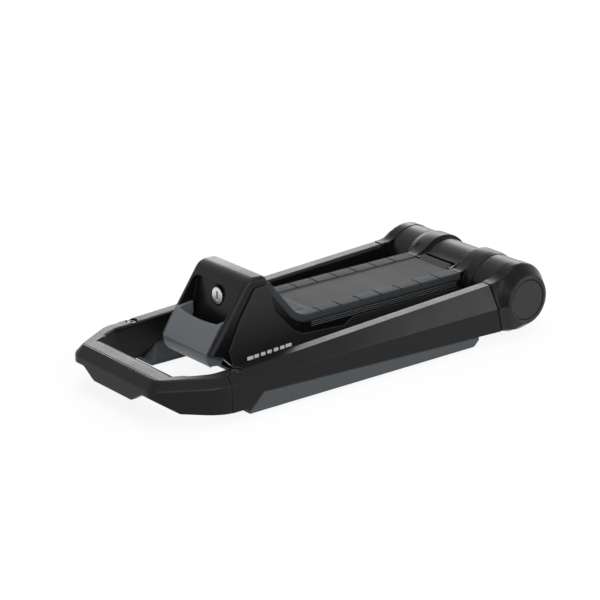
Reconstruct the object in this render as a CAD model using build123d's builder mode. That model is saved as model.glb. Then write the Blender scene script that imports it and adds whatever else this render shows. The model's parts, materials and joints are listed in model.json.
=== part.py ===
from build123d import *
import math
import os

os.makedirs("parts", exist_ok=True)

# A folding kayak cradle for a roof bar, lying folded flat. X runs along the roof bar from the
# handle (-X) to the hinge (+X), +Z is up, and the part is symmetric about Y = 0 but for its lock.
# The origin is the middle of the part's length, on the rubber face that stands on the bar.

# Fits and gaps
running_gap = 0.05
slide_gap = 0.3
moving_gap = 0.5
seam_gap = 0.2
beyond = 1.0

# Hinge at the rear of the base
hinge_x = 171.0
hinge_z = 33.5
barrel_radius = 28.0
collar_radius = 31.0
barrel_half_width = 23.0
collar_half_width = 43.0
collar_bevel = 1.2
collar_bevel_length = 6.0
sleeve_radius = 29.5
sleeve_wall = 3.0
sleeve_length = 21.2
shaft_radius = 8.0
bush_wall = 2.0
bush_length = 14.0
bush_flange = 1.5
bush_flange_width = 2.0
lining_thickness = 2.0
plate_thickness = 3.0
spring_thickness = 1.6
spring_count = 4
friction_radius = 23.0
nut_radius = 12.0
nut_thickness = 5.0
nut_depth = 12.0
nut_pocket_radius = 14.0

# Swinging arm
leg_width = 17.6
leg_ridge_z = 31.0
leg_shoulder = 6.5
leg_front_x = -144.0
leg_rear_x = 141.0
leg_top_front = 38.4
leg_top_rear = 52.5
leg_seam_top_x = 135.0
leg_seam_lean = 0.23
leg_wall = 3.0
leg_edge_round = 3.0
leg_toe_bottom = 7.4
pad_front_x = -125.0
pad_bevel = 13.0
pad_line_front = 18.3
pad_line_rear = 9.5
carrier_thickness = 2.0
core_width = 8.0
core_height = 12.0
core_bottom = 20.5
core_into_knuckle = 14.0

# Handle across the front of the arm
handle_front_x = -202.0
handle_depth = 32.0
handle_corner_y = 55.8
handle_side_angle = 30.8
handle_front_round = 14.0
handle_side_round = 40.0
window_corner_y = 56.8
window_side_angle = 24.7
window_front_round = 6.0
window_side_round = 20.0
handle_bottom_front = 25.5
handle_knee_x = -183.0
handle_knee_z = 11.8
handle_skin = 3.0
scoop_radius = 14.0
tab_half_width = 26.0
tab_shoulder = 42.0
tab_bottom = 15.8
tab_depth = 7.0
tab_round = 4.0

# Knuckles that join the legs to the shaft
knuckle_radius = 30.0
knuckle_cone = 11.3
knuckle_proud = 4.6
knuckle_face_radius = 22.0
flare_length = 13.0
flare_top_angle = 155.0
flare_bottom_angle = 235.0
flare_low_z = 10.0
neck_top_angle = 129.0
neck_bottom_angle = 243.0
neck_rise = 0.05
cap_radius = 17.5
cap_thickness = 2.0
cap_recess = 0.6
cap_spigot = 3.0

# Boat pads under the legs
boat_pad_bottom = 1.7
boat_pad_reach = 10.7
boat_pad_draft = 1.3
boat_pad_rear_x = 120.0
boat_pad_rear_bevel = 5.0
boat_lip_height = 2.5

# Base that stands on the bar
saddle_thickness = 3.0
saddle_inset = 3.0
saddle_front_x = -80.0
saddle_rear_x = 132.0
groove_width = 3.0
groove_depth = 1.2
groove_pitch = 15.0
chassis_wall = 2.5
chassis_half_width = 35.0
chassis_front_x = -84.0
chassis_rear_x = 136.0
bolt_spacing = 120.0
bolt_middle_x = 30.0
bolt_hole_radius = 4.2

# Hinge housing's neck, its strap slot and the tongue screwed to the chassis floor
ramp_angle = 125.0
slot_x = 144.0
slot_width = 4.5
slot_end_wall = 4.5
slot_depth = 14.0
tongue_length = 14.0
tongue_half_width = 20.0
tongue_thickness = 3.5
tongue_screw_y = 14.0

# Grey top pad and the tray that holds it
pad_top_z = 52.2
pad_thickness = 6.0
pad_overhang = 0.8
pad_rear_x = 138.0
pad_slope_foot_x = -40.0
pad_slope_top_x = -70.5
pad_slope_top_z = 88.3
pad_bend_radius = 22.0
pad_tongue_rise = 1.8
pad_tongue_thickness = 3.0
channel_depth = 1.5
notch_first_x = -17.4
notch_pitch = 21.97
notch_count = 7
notch_width = 1.3
notch_depth = 1.2
tray_thickness = 3.0
tray_overhang = 1.4

# Side panels and the crease above them
panel_thickness = 1.9
panel_bottom_z = 4.0
panel_front_x = -112.8
panel_front_z = 37.9
panel_rim_x = -100.4
panel_rim_z = 64.1
panel_peak_x = -85.6
panel_back_x = -72.6
panel_peak_z = 86.4
panel_peak_radius = 4.5
crease_peak_x = -69.6
crease_peak_z = 79.0
crease_top_x = -65.3
crease_top_z = 62.8
crease_bend_x = -47.0
crease_bend_z = 42.7
crease_low_x = -36.5
crease_low_z = 36.8
crease_step_x = 7.3
crease_step_low_z = 34.2
crease_step_end_x = 17.0
crease_rear_z = 39.8

# Toe at the front of the base
toe_front_x = -130.0
toe_front_z = 37.6
toe_step_x = -118.0
toe_step_z = 33.7
toe_chin_x = -108.0
toe_chin_z = 24.0
toe_brow_x = -90.4
toe_brow_z = 94.5
toe_brow_radius = 12.0
toe_rear_radius = 6.0
toe_edge_radius = 4.0
toe_rear_x = -73.0
toe_rear_z = 94.0
toe_wall = 3.5
roof_thickness = 3.0
roof_lip = 3.5
cheek_width = 5.0
recess_top_z = 84.0
recess_corner = 6.0
lock_wall_x = -96.4
lock_wall_thickness = 3.0
lock_wall_lean = 0.2
lock_wall_bottom_z = 47.0

# Clamp lever in the toe: a sloping plate over a round drum that turns in place
lever_pivot_x = -114.0
lever_pivot_z = 38.0
drum_radius = 17.0
drum_end_angle = 228.0
drum_middle_angle = 204.0
lever_skin = 2.6
lever_gap = 0.5
lever_plate_lean = 3.0
lever_plate_rise = 22.2
lever_flange_reach = 12.5
lever_flange_rise = 24.0
lever_flange_height = 10.0
lever_flange_thickness = 3.0
lever_hub_radius = 6.0
lever_hub_start_angle = 45.0
lever_hub_low_angle = 315.0
crank_web_angle = 262.0
lever_pin_radius = 2.5
lever_pin_inset = 1.0
finger_dip_radius = 206.0
finger_dip = 2.8
lever_swing = 75.0
crank_radius = 9.0
crank_pin_radius = 2.0
crank_boss_radius = 4.0
web_inner = 5.2
web_thickness = 3.0

# Pull rod, and the carriage whose sloping slots raise the two draw nuts
rod_half_width = 4.5
rod_bottom_z = 28.0
rod_top_z = 35.0
rod_rear_x = -60.0
fork_half_length = 4.0
fork_bottom_z = 27.6
fork_play = 0.35
fork_side_play = 0.25
carriage_inner = 11.0
carriage_wall = 2.5
carriage_front_x = -75.0
carriage_bottom_z = 8.0
carriage_rear_margin = 8.0
bridge_length = 12.0
bridge_bottom_z = 18.0
nut_block_length = 20.0
nut_block_half_width = 10.0
nut_block_height = 14.0
nut_block_bottom_z = 9.5
nut_rise = 3.0
trunnion_radius = 2.5
trunnion_reach = 14.5
guide_post = 4.0
guide_top_z = 33.5

# Lock in the toe's wall
lock_z = 72.8
lock_plug_radius = 7.0
lock_housing_radius = 8.4
lock_housing_length = 17.4
lock_face_proud = 0.8
key_slot_length = 7.0
key_slot_width = 1.6
key_slot_depth = 6.0
cam_thickness = 2.5
cam_reach = 24.0
cam_hub_radius = 6.0
cam_width = 7.0
lug_length = 5.0
lug_top_z = 54.0

# Screws
leg_screw_x = -132.9
leg_screw_inset = 6.9
leg_recess_radius = 4.8
leg_recess_depth = 3.6
leg_boss_wall = 1.5
screw_head_radius = 3.8
screw_head_height = 2.6
screw_shank_radius = 1.6
screw_length = 6.0
drive_radius = 1.5
drive_depth = 1.4

# Worked-out widths, from the middle outwards
leg_inner = collar_half_width + moving_gap + sleeve_length
leg_outer = leg_inner + leg_width
knuckle_face = leg_outer + knuckle_proud
knuckle_edge = knuckle_face - knuckle_cone
nut_seat = knuckle_face - nut_depth
leg_screw_y = leg_inner + leg_screw_inset
boat_pad_inner = leg_inner - boat_pad_reach
boat_pad_outer = leg_outer - boat_pad_draft
saddle_half_width = chassis_half_width - saddle_inset
pad_half_width = chassis_half_width + pad_overhang
tray_half_width = chassis_half_width + tray_overhang
panel_outer = chassis_half_width + panel_thickness
chassis_inner = chassis_half_width - chassis_wall
recess_half_width = chassis_half_width - cheek_width
lever_pin_half_length = chassis_half_width - lever_pin_inset
strip_inner = barrel_half_width - seam_gap
slot_half_length = barrel_half_width - slot_end_wall

# Worked-out places
lever_top_x = lever_pivot_x - lever_plate_lean
lever_top_z = lever_pivot_z + lever_plate_rise
lever_flange_rear_x = lever_pivot_x + lever_flange_reach
lever_flange_top_z = lever_pivot_z + lever_flange_rise
lever_flange_low_z = lever_flange_top_z - lever_flange_height
crank_half_angle = math.radians(lever_swing / 2)
rod_travel = 2 * crank_radius * math.sin(crank_half_angle)
crank_x = lever_pivot_x - crank_radius * math.sin(crank_half_angle)
crank_z = lever_pivot_z - crank_radius * math.cos(crank_half_angle)
handle_rear_x = handle_front_x + handle_depth
handle_top_z = leg_top_front
floor_top_z = saddle_thickness + chassis_wall
pad_under_z = pad_top_z - pad_thickness
tray_under_z = pad_under_z - tray_thickness
bolt_front_x = bolt_middle_x - bolt_spacing / 2
bolt_rear_x = bolt_middle_x + bolt_spacing / 2
trunnion_z = nut_block_bottom_z + nut_block_height / 2
knuckle_front_x = leg_seam_top_x + seam_gap
cam_x = lock_wall_x + lock_housing_length + seam_gap
cam_rear_x = cam_x + cam_thickness
roof_under_z = toe_rear_z - roof_thickness
cap_seat = knuckle_face - cap_recess - cap_thickness
above_all = toe_brow_z + beyond
leg_span_y = (leg_inner - beyond, leg_outer + beyond)


def save(piece, name):
    """Label a finished piece and write it as a STEP file of the same name."""
    piece.part.label = name
    export_step(piece.part, f"parts/{name}.step")


def mirrored(piece):
    """Return the left-hand piece turned over to the right-hand side."""
    with BuildPart() as twin:
        mirror(piece.part, about=Plane.XZ)
    return twin


def section_plane(x):
    """Plane across the part at x, with its own x along +Y and its own y along +Z."""
    return Plane(origin=(x, 0, 0), x_dir=(0, 1, 0), z_dir=(1, 0, 0))


def side_plane(y):
    """Plane along the part at y, with its own x along +X, its own y along +Z, facing -Y."""
    return Plane(origin=(0, y, 0), x_dir=(1, 0, 0), z_dir=(0, -1, 0))


def hinge_plane():
    """Plane through the hinge axis, with its own x along the axis and its own y as radius."""
    return Plane(origin=(hinge_x, 0, hinge_z), x_dir=(0, 1, 0), z_dir=(1, 0, 0))


hinge_axis = Axis((hinge_x, 0, hinge_z), (0, 1, 0))


def side_slab(points, start, end, mode=Mode.ADD):
    """Add or cut a slab with an outline in X and Z, between two places along Y."""
    with BuildSketch(side_plane(start)) as outline:
        with BuildLine():
            Polyline(*points, close=True)
        make_face()
    extrude(outline.sketch, amount=end - start, dir=(0, 1, 0), mode=mode)


def side_slabs(points, start, end):
    """Add a pair of slabs with one outline in X and Z, one on each side of the middle."""
    side_slab(points, start, end)
    side_slab(points, -end, -start)


def block(x_span, y_span, z_span, mode=Mode.ADD):
    """Add or cut a box between two corners, given as spans along X, Y and Z."""
    middle = tuple((low + high) / 2 for low, high in (x_span, y_span, z_span))
    with Locations(middle):
        Box(x_span[1] - x_span[0], y_span[1] - y_span[0], z_span[1] - z_span[0], mode=mode)


def rod_along_y(x, z, radius, start, end, mode=Mode.ADD):
    """Add or cut a round bar along Y."""
    with BuildSketch(side_plane(start)) as circle:
        with Locations((x, z)):
            Circle(radius)
    extrude(circle.sketch, amount=end - start, dir=(0, 1, 0), mode=mode)


def rod_along_x(y, z, radius, start, end, mode=Mode.ADD):
    """Add or cut a round bar along X."""
    with BuildSketch(section_plane(start)) as circle:
        with Locations((y, z)):
            Circle(radius)
    extrude(circle.sketch, amount=end - start, dir=(1, 0, 0), mode=mode)


def rod_along_z(x, y, radius, start, end, mode=Mode.ADD):
    """Add or cut a round bar along Z."""
    with BuildSketch(Plane.XY.offset(start)) as circle:
        with Locations((x, y)):
            Circle(radius)
    extrude(circle.sketch, amount=end - start, dir=(0, 0, 1), mode=mode)


def ring(inner, outer, start, end, mode=Mode.ADD):
    """Add or cut a ring on the hinge axis, between two radii and two places along the axis."""
    with BuildSketch(hinge_plane()) as profile:
        with Locations(((start + end) / 2, (inner + outer) / 2)):
            Rectangle(end - start, outer - inner)
    revolve(profile.sketch, axis=hinge_axis, mode=mode)


def rings(inner, outer, start, end):
    """Add a pair of rings on the hinge axis, one on each side of the middle."""
    ring(inner, outer, start, end)
    ring(inner, outer, -end, -start)


def turned(points, mode=Mode.ADD):
    """Add or cut a turned shape on the hinge axis, from places along the axis and radii."""
    with BuildSketch(hinge_plane()) as profile:
        with BuildLine():
            Polyline(*points, close=True)
        make_face()
    revolve(profile.sketch, axis=hinge_axis, mode=mode)


def hinge_point(radius, angle):
    """Point at a radius and an angle round the hinge axis, in X and Z."""
    turn = math.radians(angle)
    return (hinge_x + radius * math.cos(turn), hinge_z + radius * math.sin(turn))


def drum_point(radius, angle):
    """Point at a radius and an angle round the lever's pivot, in X and Z."""
    turn = math.radians(angle)
    return (lever_pivot_x + radius * math.cos(turn), lever_pivot_z + radius * math.sin(turn))


def screw(x, y, head_bottom_z):
    """Add a screw with a round head and a socket, standing with its head up."""
    head_top_z = head_bottom_z + screw_head_height
    rod_along_z(x, y, screw_head_radius, head_bottom_z, head_top_z)
    rod_along_z(x, y, screw_shank_radius, head_bottom_z - screw_length, head_bottom_z)
    with BuildSketch(Plane.XY.offset(head_top_z)) as socket:
        with Locations((x, y)):
            RegularPolygon(drive_radius, 6)
    extrude(socket.sketch, amount=drive_depth, dir=(0, 0, -1), mode=Mode.SUBTRACT)


# Leg: a ruled block between two sections, with a sloping outer shoulder
def leg_top(x):
    """Height of the leg's top face at x."""
    share = (x - leg_front_x) / (leg_rear_x - leg_front_x)
    return leg_top_front + share * (leg_top_rear - leg_top_front)


def pad_line(x):
    """Height of the leg's underside over the boat pad at x."""
    start = pad_front_x + pad_bevel
    share = (x - start) / (leg_rear_x - start)
    return pad_line_front + share * (pad_line_rear - pad_line_front)


def leg_seam_x(z):
    """Place along X of the leaning seam between the leg and the knuckle at a height."""
    return leg_seam_top_x + (leg_top_rear - z) * leg_seam_lean


def leg_section(x, inner, outer, shoulder, top, edge_round):
    """Sketch the leg's section at x: rounded inner edge, flat top, sloping shoulder, upright outer face."""
    with BuildSketch(section_plane(x)) as section:
        with BuildLine():
            Polyline((inner, 0), (inner, top), (outer - shoulder, top),
                     (outer, leg_ridge_z), (outer, 0), close=True)
        make_face()
        if edge_round > 0:
            fillet(section.vertices().sort_by_distance((inner, top, 0))[0], radius=edge_round)
    return section.sketch


def leg_block(wall, front, rear, mode=Mode.ADD):
    """Add the left leg, or cut its hollow when a wall is given."""
    sections = [leg_section(x, leg_inner + wall, leg_outer - wall, leg_shoulder - wall / 2,
                            leg_top(x) - wall, leg_edge_round - wall) for x in (front, rear)]
    loft(sections, ruled=True, mode=mode)


def under_leg(front, rear):
    """Outline, in X and Z, of what lies below the leg: low by the handle, higher over the pad."""
    start = pad_front_x + pad_bevel
    return [(front, -beyond), (front, leg_toe_bottom), (pad_front_x, leg_toe_bottom),
            (start, pad_line_front), (rear, pad_line(rear)), (rear, -beyond)]


def slanting_plan(x_span, half, corner_y, angle, front_round, side_round, height):
    """Sketch a plan with a straight front, a slanting stretch on each side and two straight sides."""
    front, rear = x_span
    side_x = front + (half - corner_y) / math.tan(math.radians(angle))
    with BuildSketch(Plane.XY.offset(height)) as plan:
        with BuildLine():
            Polyline((front, -corner_y), (front, corner_y), (side_x, half), (rear, half),
                     (rear, -half), (side_x, -half), close=True)
        make_face()
        fillet(plan.vertices().group_by(Axis.X)[1], radius=side_round)
        fillet(plan.vertices().group_by(Axis.X)[0], radius=front_round)
    return plan.sketch


def handle_plan(inset, rear, height):
    """Sketch the handle's plan, drawn in by an inset all round."""
    corner_y = handle_corner_y - inset * math.tan(math.radians(90 - handle_side_angle) / 2)
    return slanting_plan((handle_front_x + inset, rear), leg_outer - inset, corner_y,
                         handle_side_angle, handle_front_round - inset, handle_side_round - inset,
                         height)


def window_plan(rear, reach, height):
    """Sketch the opening between the legs, its front moved forwards by a reach."""
    corner_y = window_corner_y - reach * math.tan(math.radians(window_side_angle))
    return slanting_plan((handle_rear_x - reach, rear), leg_inner, corner_y, window_side_angle,
                         window_front_round, window_side_round, height)


def under_handle(raised, rear):
    """Outline, in X and Z, of what lies below the handle's sloping underside."""
    front = handle_front_x - beyond
    return [(front, -beyond), (front, handle_bottom_front + raised),
            (handle_knee_x, handle_knee_z + raised), (leg_front_x, leg_toe_bottom + raised),
            (rear, leg_toe_bottom + raised), (rear, -beyond)]


frame_inset = leg_shoulder + seam_gap
frame_overlap_x = leg_front_x + handle_skin
core_inner = leg_inner + leg_wall + slide_gap
core_top = core_bottom + core_height
screw_seat_z = leg_top(leg_screw_x) - leg_recess_depth

# Arm frame: both leg shells and the handle's inner bar in one moulding
with BuildPart() as leg_shell:
    leg_block(0, leg_front_x, hinge_x)
    leg_block(leg_wall, leg_front_x + leg_wall, hinge_x, mode=Mode.SUBTRACT)
    side_slab(under_leg(leg_front_x - beyond, hinge_x + beyond), *leg_span_y, mode=Mode.SUBTRACT)
    behind_seam = [(leg_seam_x(0), 0), (leg_seam_x(above_all), above_all),
                   (hinge_x + beyond, above_all), (hinge_x + beyond, 0)]
    side_slab(behind_seam, *leg_span_y, mode=Mode.SUBTRACT)
    rod_along_z(leg_screw_x, leg_screw_y, leg_recess_radius + leg_boss_wall, core_top + slide_gap,
                leg_top(leg_screw_x) - leg_wall)
    rod_along_z(leg_screw_x, leg_screw_y, leg_recess_radius, screw_seat_z, handle_top_z + leg_wall,
                mode=Mode.SUBTRACT)
    rod_along_z(leg_screw_x, leg_screw_y, screw_shank_radius, core_top, screw_seat_z, mode=Mode.SUBTRACT)

scoop_low_z = handle_top_z - scoop_radius
with BuildPart() as scoop:
    extrude(window_plan(frame_overlap_x, scoop_radius, scoop_low_z), amount=above_all, dir=(0, 0, 1))
    rod_along_y(handle_rear_x - scoop_radius, scoop_low_z, scoop_radius, -leg_outer, leg_outer,
                mode=Mode.SUBTRACT)

with BuildPart() as arm_frame:
    extrude(handle_plan(frame_inset, frame_overlap_x, leg_toe_bottom),
            amount=handle_top_z - leg_toe_bottom, dir=(0, 0, 1))
    extrude(window_plan(frame_overlap_x, 0, 0), amount=above_all, dir=(0, 0, 1), mode=Mode.SUBTRACT)
    side_slab(under_handle(handle_skin, frame_overlap_x + beyond), -leg_outer, leg_outer,
              mode=Mode.SUBTRACT)
    inner_edges = [edge for edge in arm_frame.edges().group_by(Axis.Z)[-1]
                   if abs(edge.center().Y) < leg_inner + seam_gap
                   and handle_rear_x + beyond < edge.center().X < frame_overlap_x - seam_gap]
    fillet(inner_edges, radius=leg_edge_round)
    add(scoop.part, mode=Mode.SUBTRACT)
    add(leg_shell.part)
    mirror(leg_shell.part, about=Plane.XZ)
save(arm_frame, "arm_frame")

# Handle cover: the outer skin round the front, with a tab below its middle
cover_rear_x = frame_overlap_x + handle_depth
with BuildPart() as handle_cover:
    loft([handle_plan(0, cover_rear_x, leg_ridge_z), handle_plan(leg_shoulder, cover_rear_x, handle_top_z)],
         ruled=True)
    extrude(handle_plan(0, cover_rear_x, 0), amount=leg_ridge_z, dir=(0, 0, 1))
    side_slab(under_handle(0, cover_rear_x + beyond), -leg_outer - beyond, leg_outer + beyond,
              mode=Mode.SUBTRACT)
    with BuildSketch(section_plane(handle_front_x)) as tab:
        with BuildLine():
            Polyline((-tab_shoulder, handle_bottom_front), (-tab_half_width, tab_bottom),
                     (tab_half_width, tab_bottom), (tab_shoulder, handle_bottom_front),
                     (tab_shoulder, leg_ridge_z), (-tab_shoulder, leg_ridge_z), close=True)
        make_face()
        fillet(tab.vertices().group_by(Axis.Y)[0], radius=tab_round)
    extrude(tab.sketch, amount=tab_depth, dir=(1, 0, 0))
    extrude(handle_plan(leg_shoulder, leg_rear_x, 0), amount=above_all, dir=(0, 0, 1),
            mode=Mode.SUBTRACT)
    block((leg_front_x - seam_gap, leg_rear_x), (-leg_outer - beyond, leg_outer + beyond),
          (-beyond, above_all), mode=Mode.SUBTRACT)
save(handle_cover, "handle_cover")

# Steel bars inside the legs, from behind the handle into the knuckles
with BuildPart() as leg_core_left:
    block((leg_front_x + leg_wall + slide_gap, leg_rear_x + core_into_knuckle),
          (core_inner, core_inner + core_width), (core_bottom, core_top))
    rod_along_z(leg_screw_x, leg_screw_y, screw_shank_radius, core_bottom, core_top, mode=Mode.SUBTRACT)
save(leg_core_left, "leg_core_left")
save(mirrored(leg_core_left), "leg_core_right")

# Boat pads: soft blocks under the legs, with a lip that reaches inwards
pad_roof_z = pad_line_front + pad_bevel
with BuildPart() as boat_pad_left:
    with BuildSketch(section_plane(pad_front_x)) as pad_section:
        with BuildLine():
            Polyline((boat_pad_inner, boat_pad_bottom), (boat_pad_inner, boat_pad_bottom + boat_lip_height),
                     (leg_inner + seam_gap, pad_line_front - boat_lip_height),
                     (leg_inner + seam_gap, pad_roof_z), (leg_outer - seam_gap, pad_roof_z),
                     (boat_pad_outer, boat_pad_bottom), close=True)
        make_face()
    extrude(pad_section.sketch, amount=boat_pad_rear_x - pad_front_x, dir=(1, 0, 0))
    pad_end_x = boat_pad_rear_x + beyond
    over_pad = [(pad_front_x - beyond, boat_pad_bottom), (pad_front_x, boat_pad_bottom + boat_lip_height),
                (pad_front_x + pad_bevel, pad_line_front - seam_gap),
                (pad_end_x, pad_line(pad_end_x) - seam_gap),
                (pad_end_x, pad_roof_z + beyond), (pad_front_x - beyond, pad_roof_z + beyond)]
    side_slab(over_pad, boat_pad_inner - beyond, leg_outer + beyond, mode=Mode.SUBTRACT)
    rear_bevel = [(boat_pad_rear_x - boat_pad_rear_bevel, boat_pad_bottom),
                  (boat_pad_rear_x, boat_pad_bottom - beyond),
                  (boat_pad_rear_x, boat_pad_bottom + boat_pad_rear_bevel)]
    side_slab(rear_bevel, boat_pad_inner - beyond, leg_outer + beyond, mode=Mode.SUBTRACT)
save(boat_pad_left, "boat_pad_left")
save(mirrored(boat_pad_left), "boat_pad_right")

# Pad carriers: strips that close the legs' undersides and hold the pads
with BuildPart() as pad_carrier_left:
    carrier_front_x = pad_front_x + pad_bevel + leg_wall
    strip = [(carrier_front_x, pad_line(carrier_front_x)), (boat_pad_rear_x, pad_line(boat_pad_rear_x)),
             (boat_pad_rear_x, pad_line(boat_pad_rear_x) + carrier_thickness),
             (carrier_front_x, pad_line(carrier_front_x) + carrier_thickness)]
    side_slab(strip, leg_inner + leg_wall + seam_gap, leg_outer - leg_wall - seam_gap)
save(pad_carrier_left, "pad_carrier_left")
save(mirrored(pad_carrier_left), "pad_carrier_right")

# Screws in the round recesses on top of the legs
with BuildPart() as leg_screws:
    for side in (-1, 1):
        screw(leg_screw_x, side * leg_screw_y, screw_seat_z)
save(leg_screws, "leg_screws")

# Knuckle: a neck that carries on the leg, a barrel on the hinge axis, a cone and a round face
with BuildPart() as knuckle_left:
    neck_top = leg_top(leg_seam_top_x)
    neck_floor = pad_line(leg_rear_x)
    neck_top_start = (leg_seam_x(neck_top) + seam_gap, neck_top)
    neck_floor_start = (leg_seam_x(neck_floor) + seam_gap, neck_floor)
    crest_turn = math.radians(neck_top_angle)
    neck_crest = hinge_point(knuckle_radius, neck_top_angle)
    neck_heel = hinge_point(knuckle_radius, neck_bottom_angle)
    with BuildSketch(side_plane(leg_inner + seam_gap)) as neck:
        with BuildLine():
            Line(neck_floor_start, neck_top_start)
            Spline(neck_top_start, neck_crest,
                   tangents=[(1, neck_rise), (math.sin(crest_turn), -math.cos(crest_turn))])
            Polyline(neck_crest, (hinge_x, hinge_z), neck_heel, neck_floor_start)
        make_face()
    extrude(neck.sketch, amount=leg_outer - leg_inner - seam_gap, dir=(0, 1, 0))
    with BuildSketch(section_plane(knuckle_front_x - beyond)) as shoulder:
        with BuildLine():
            Polyline((leg_outer - leg_shoulder, neck_top), (leg_outer, leg_ridge_z),
                     (leg_outer + beyond, leg_ridge_z), (leg_outer + beyond, above_all),
                     (leg_outer - leg_shoulder, above_all), close=True)
        make_face()
    extrude(shoulder.sketch, amount=hinge_x - knuckle_front_x + beyond, dir=(1, 0, 0),
            mode=Mode.SUBTRACT)
    ridge_start = (leg_seam_x(leg_ridge_z) + seam_gap, leg_ridge_z)
    flare = [(leg_seam_x(flare_low_z) + seam_gap, flare_low_z), ridge_start,
             hinge_point(knuckle_face_radius, flare_top_angle), (hinge_x, hinge_z),
             hinge_point(knuckle_face_radius, flare_bottom_angle)]
    side_slab(flare, knuckle_edge, knuckle_face)
    with BuildSketch(Plane.XY) as beside_flare:
        with BuildLine():
            Polyline((knuckle_front_x, leg_outer), (ridge_start[0], leg_outer),
                     (ridge_start[0] + flare_length, knuckle_face),
                     (ridge_start[0] + flare_length, knuckle_face + beyond),
                     (knuckle_front_x, knuckle_face + beyond), close=True)
        make_face()
    extrude(beside_flare.sketch, amount=above_all, dir=(0, 0, 1), mode=Mode.SUBTRACT)
    turned([(leg_inner + seam_gap, 0), (leg_inner + seam_gap, knuckle_radius),
            (knuckle_edge, knuckle_radius), (knuckle_face, knuckle_face_radius), (knuckle_face, 0)])
    ring(0, shaft_radius, leg_inner, knuckle_face + beyond, mode=Mode.SUBTRACT)
    ring(0, nut_pocket_radius, nut_seat, knuckle_face + beyond, mode=Mode.SUBTRACT)
    ring(0, cap_radius + seam_gap, cap_seat, knuckle_face + beyond, mode=Mode.SUBTRACT)
    block((knuckle_front_x - beyond, leg_rear_x + core_into_knuckle + slide_gap),
          (core_inner - slide_gap, core_inner + core_width + slide_gap),
          (core_bottom - slide_gap, core_top + slide_gap), mode=Mode.SUBTRACT)
save(knuckle_left, "knuckle_left")
save(mirrored(knuckle_left), "knuckle_right")

# End caps in the knuckles' faces, each with a snap ring behind it
with BuildPart() as end_cap_left:
    ring(0, cap_radius, cap_seat, cap_seat + cap_thickness)
    ring(nut_radius + seam_gap, nut_pocket_radius - seam_gap, cap_seat - cap_spigot, cap_seat)
save(end_cap_left, "end_cap_left")
save(mirrored(end_cap_left), "end_cap_right")

# Shaft through the whole hinge, with a nut at each end
with BuildPart() as hinge_shaft:
    ring(0, shaft_radius, -nut_seat - nut_thickness, nut_seat + nut_thickness)
save(hinge_shaft, "hinge_shaft")

with BuildPart() as shaft_nuts:
    for start in (nut_seat, -nut_seat - nut_thickness):
        with BuildSketch(Plane(origin=(hinge_x, start, hinge_z), x_dir=(1, 0, 0), z_dir=(0, 1, 0))):
            RegularPolygon(nut_radius, 6)
            Circle(shaft_radius, mode=Mode.SUBTRACT)
        extrude(amount=nut_thickness)
save(shaft_nuts, "shaft_nuts")

# Sleeves between the base's collars and the knuckles, open towards the collars
with BuildPart() as hinge_sleeve_left:
    ring(sleeve_radius - sleeve_wall, sleeve_radius, collar_half_width + moving_gap, leg_inner)
    ring(shaft_radius + slide_gap, sleeve_radius, leg_inner - sleeve_wall, leg_inner)
save(hinge_sleeve_left, "hinge_sleeve_left")
save(mirrored(hinge_sleeve_left), "hinge_sleeve_right")

# Friction linings on the collars, pressure plates on the shaft and the disc springs behind them
lining_inner = shaft_radius + bush_wall + bush_flange_width + slide_gap
lining_end = collar_half_width + lining_thickness
plate_start = lining_end + slide_gap
spring_start = plate_start + plate_thickness + seam_gap
spring_pitch = (leg_inner - sleeve_wall - seam_gap - spring_start) / spring_count
spring_lean = spring_pitch - spring_thickness - seam_gap
with BuildPart() as friction_linings:
    rings(lining_inner, friction_radius, collar_half_width, lining_end)
save(friction_linings, "friction_linings")

with BuildPart() as pressure_plates:
    rings(shaft_radius, friction_radius, plate_start, plate_start + plate_thickness)
save(pressure_plates, "pressure_plates")

with BuildPart() as disc_springs_left:
    for number in range(spring_count):
        leaning = number % 2
        hub_place = spring_start + number * spring_pitch + (1 - leaning) * spring_lean
        rim_place = spring_start + number * spring_pitch + leaning * spring_lean
        turned([(hub_place, shaft_radius + slide_gap), (rim_place, friction_radius),
                (rim_place + spring_thickness, friction_radius),
                (hub_place + spring_thickness, shaft_radius + slide_gap)])
save(disc_springs_left, "disc_springs_left")
save(mirrored(disc_springs_left), "disc_springs_right")

neck_start_x = chassis_rear_x + seam_gap
tongue_screw_x = neck_start_x - tongue_length / 2


def neck_slab(radius, start, end):
    """Add a slab of the housing's neck, whose top sweeps up from the pad to a barrel's top."""
    step = (pad_rear_x + slide_gap, pad_top_z - slide_gap)
    crest = hinge_point(radius, ramp_angle)
    lean = math.radians(ramp_angle)
    with BuildSketch(side_plane(start)) as outline:
        with BuildLine():
            Spline(step, crest, tangents=[(1, neck_rise), (math.sin(lean), -math.cos(lean))])
            Polyline(crest, (hinge_x, hinge_z), (hinge_x, hinge_z - radius + moving_gap),
                     (neck_start_x, saddle_thickness), (neck_start_x, tray_under_z - seam_gap),
                     (step[0], tray_under_z - seam_gap), step)
        make_face()
    extrude(outline.sketch, amount=end - start, dir=(0, 1, 0))


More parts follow.
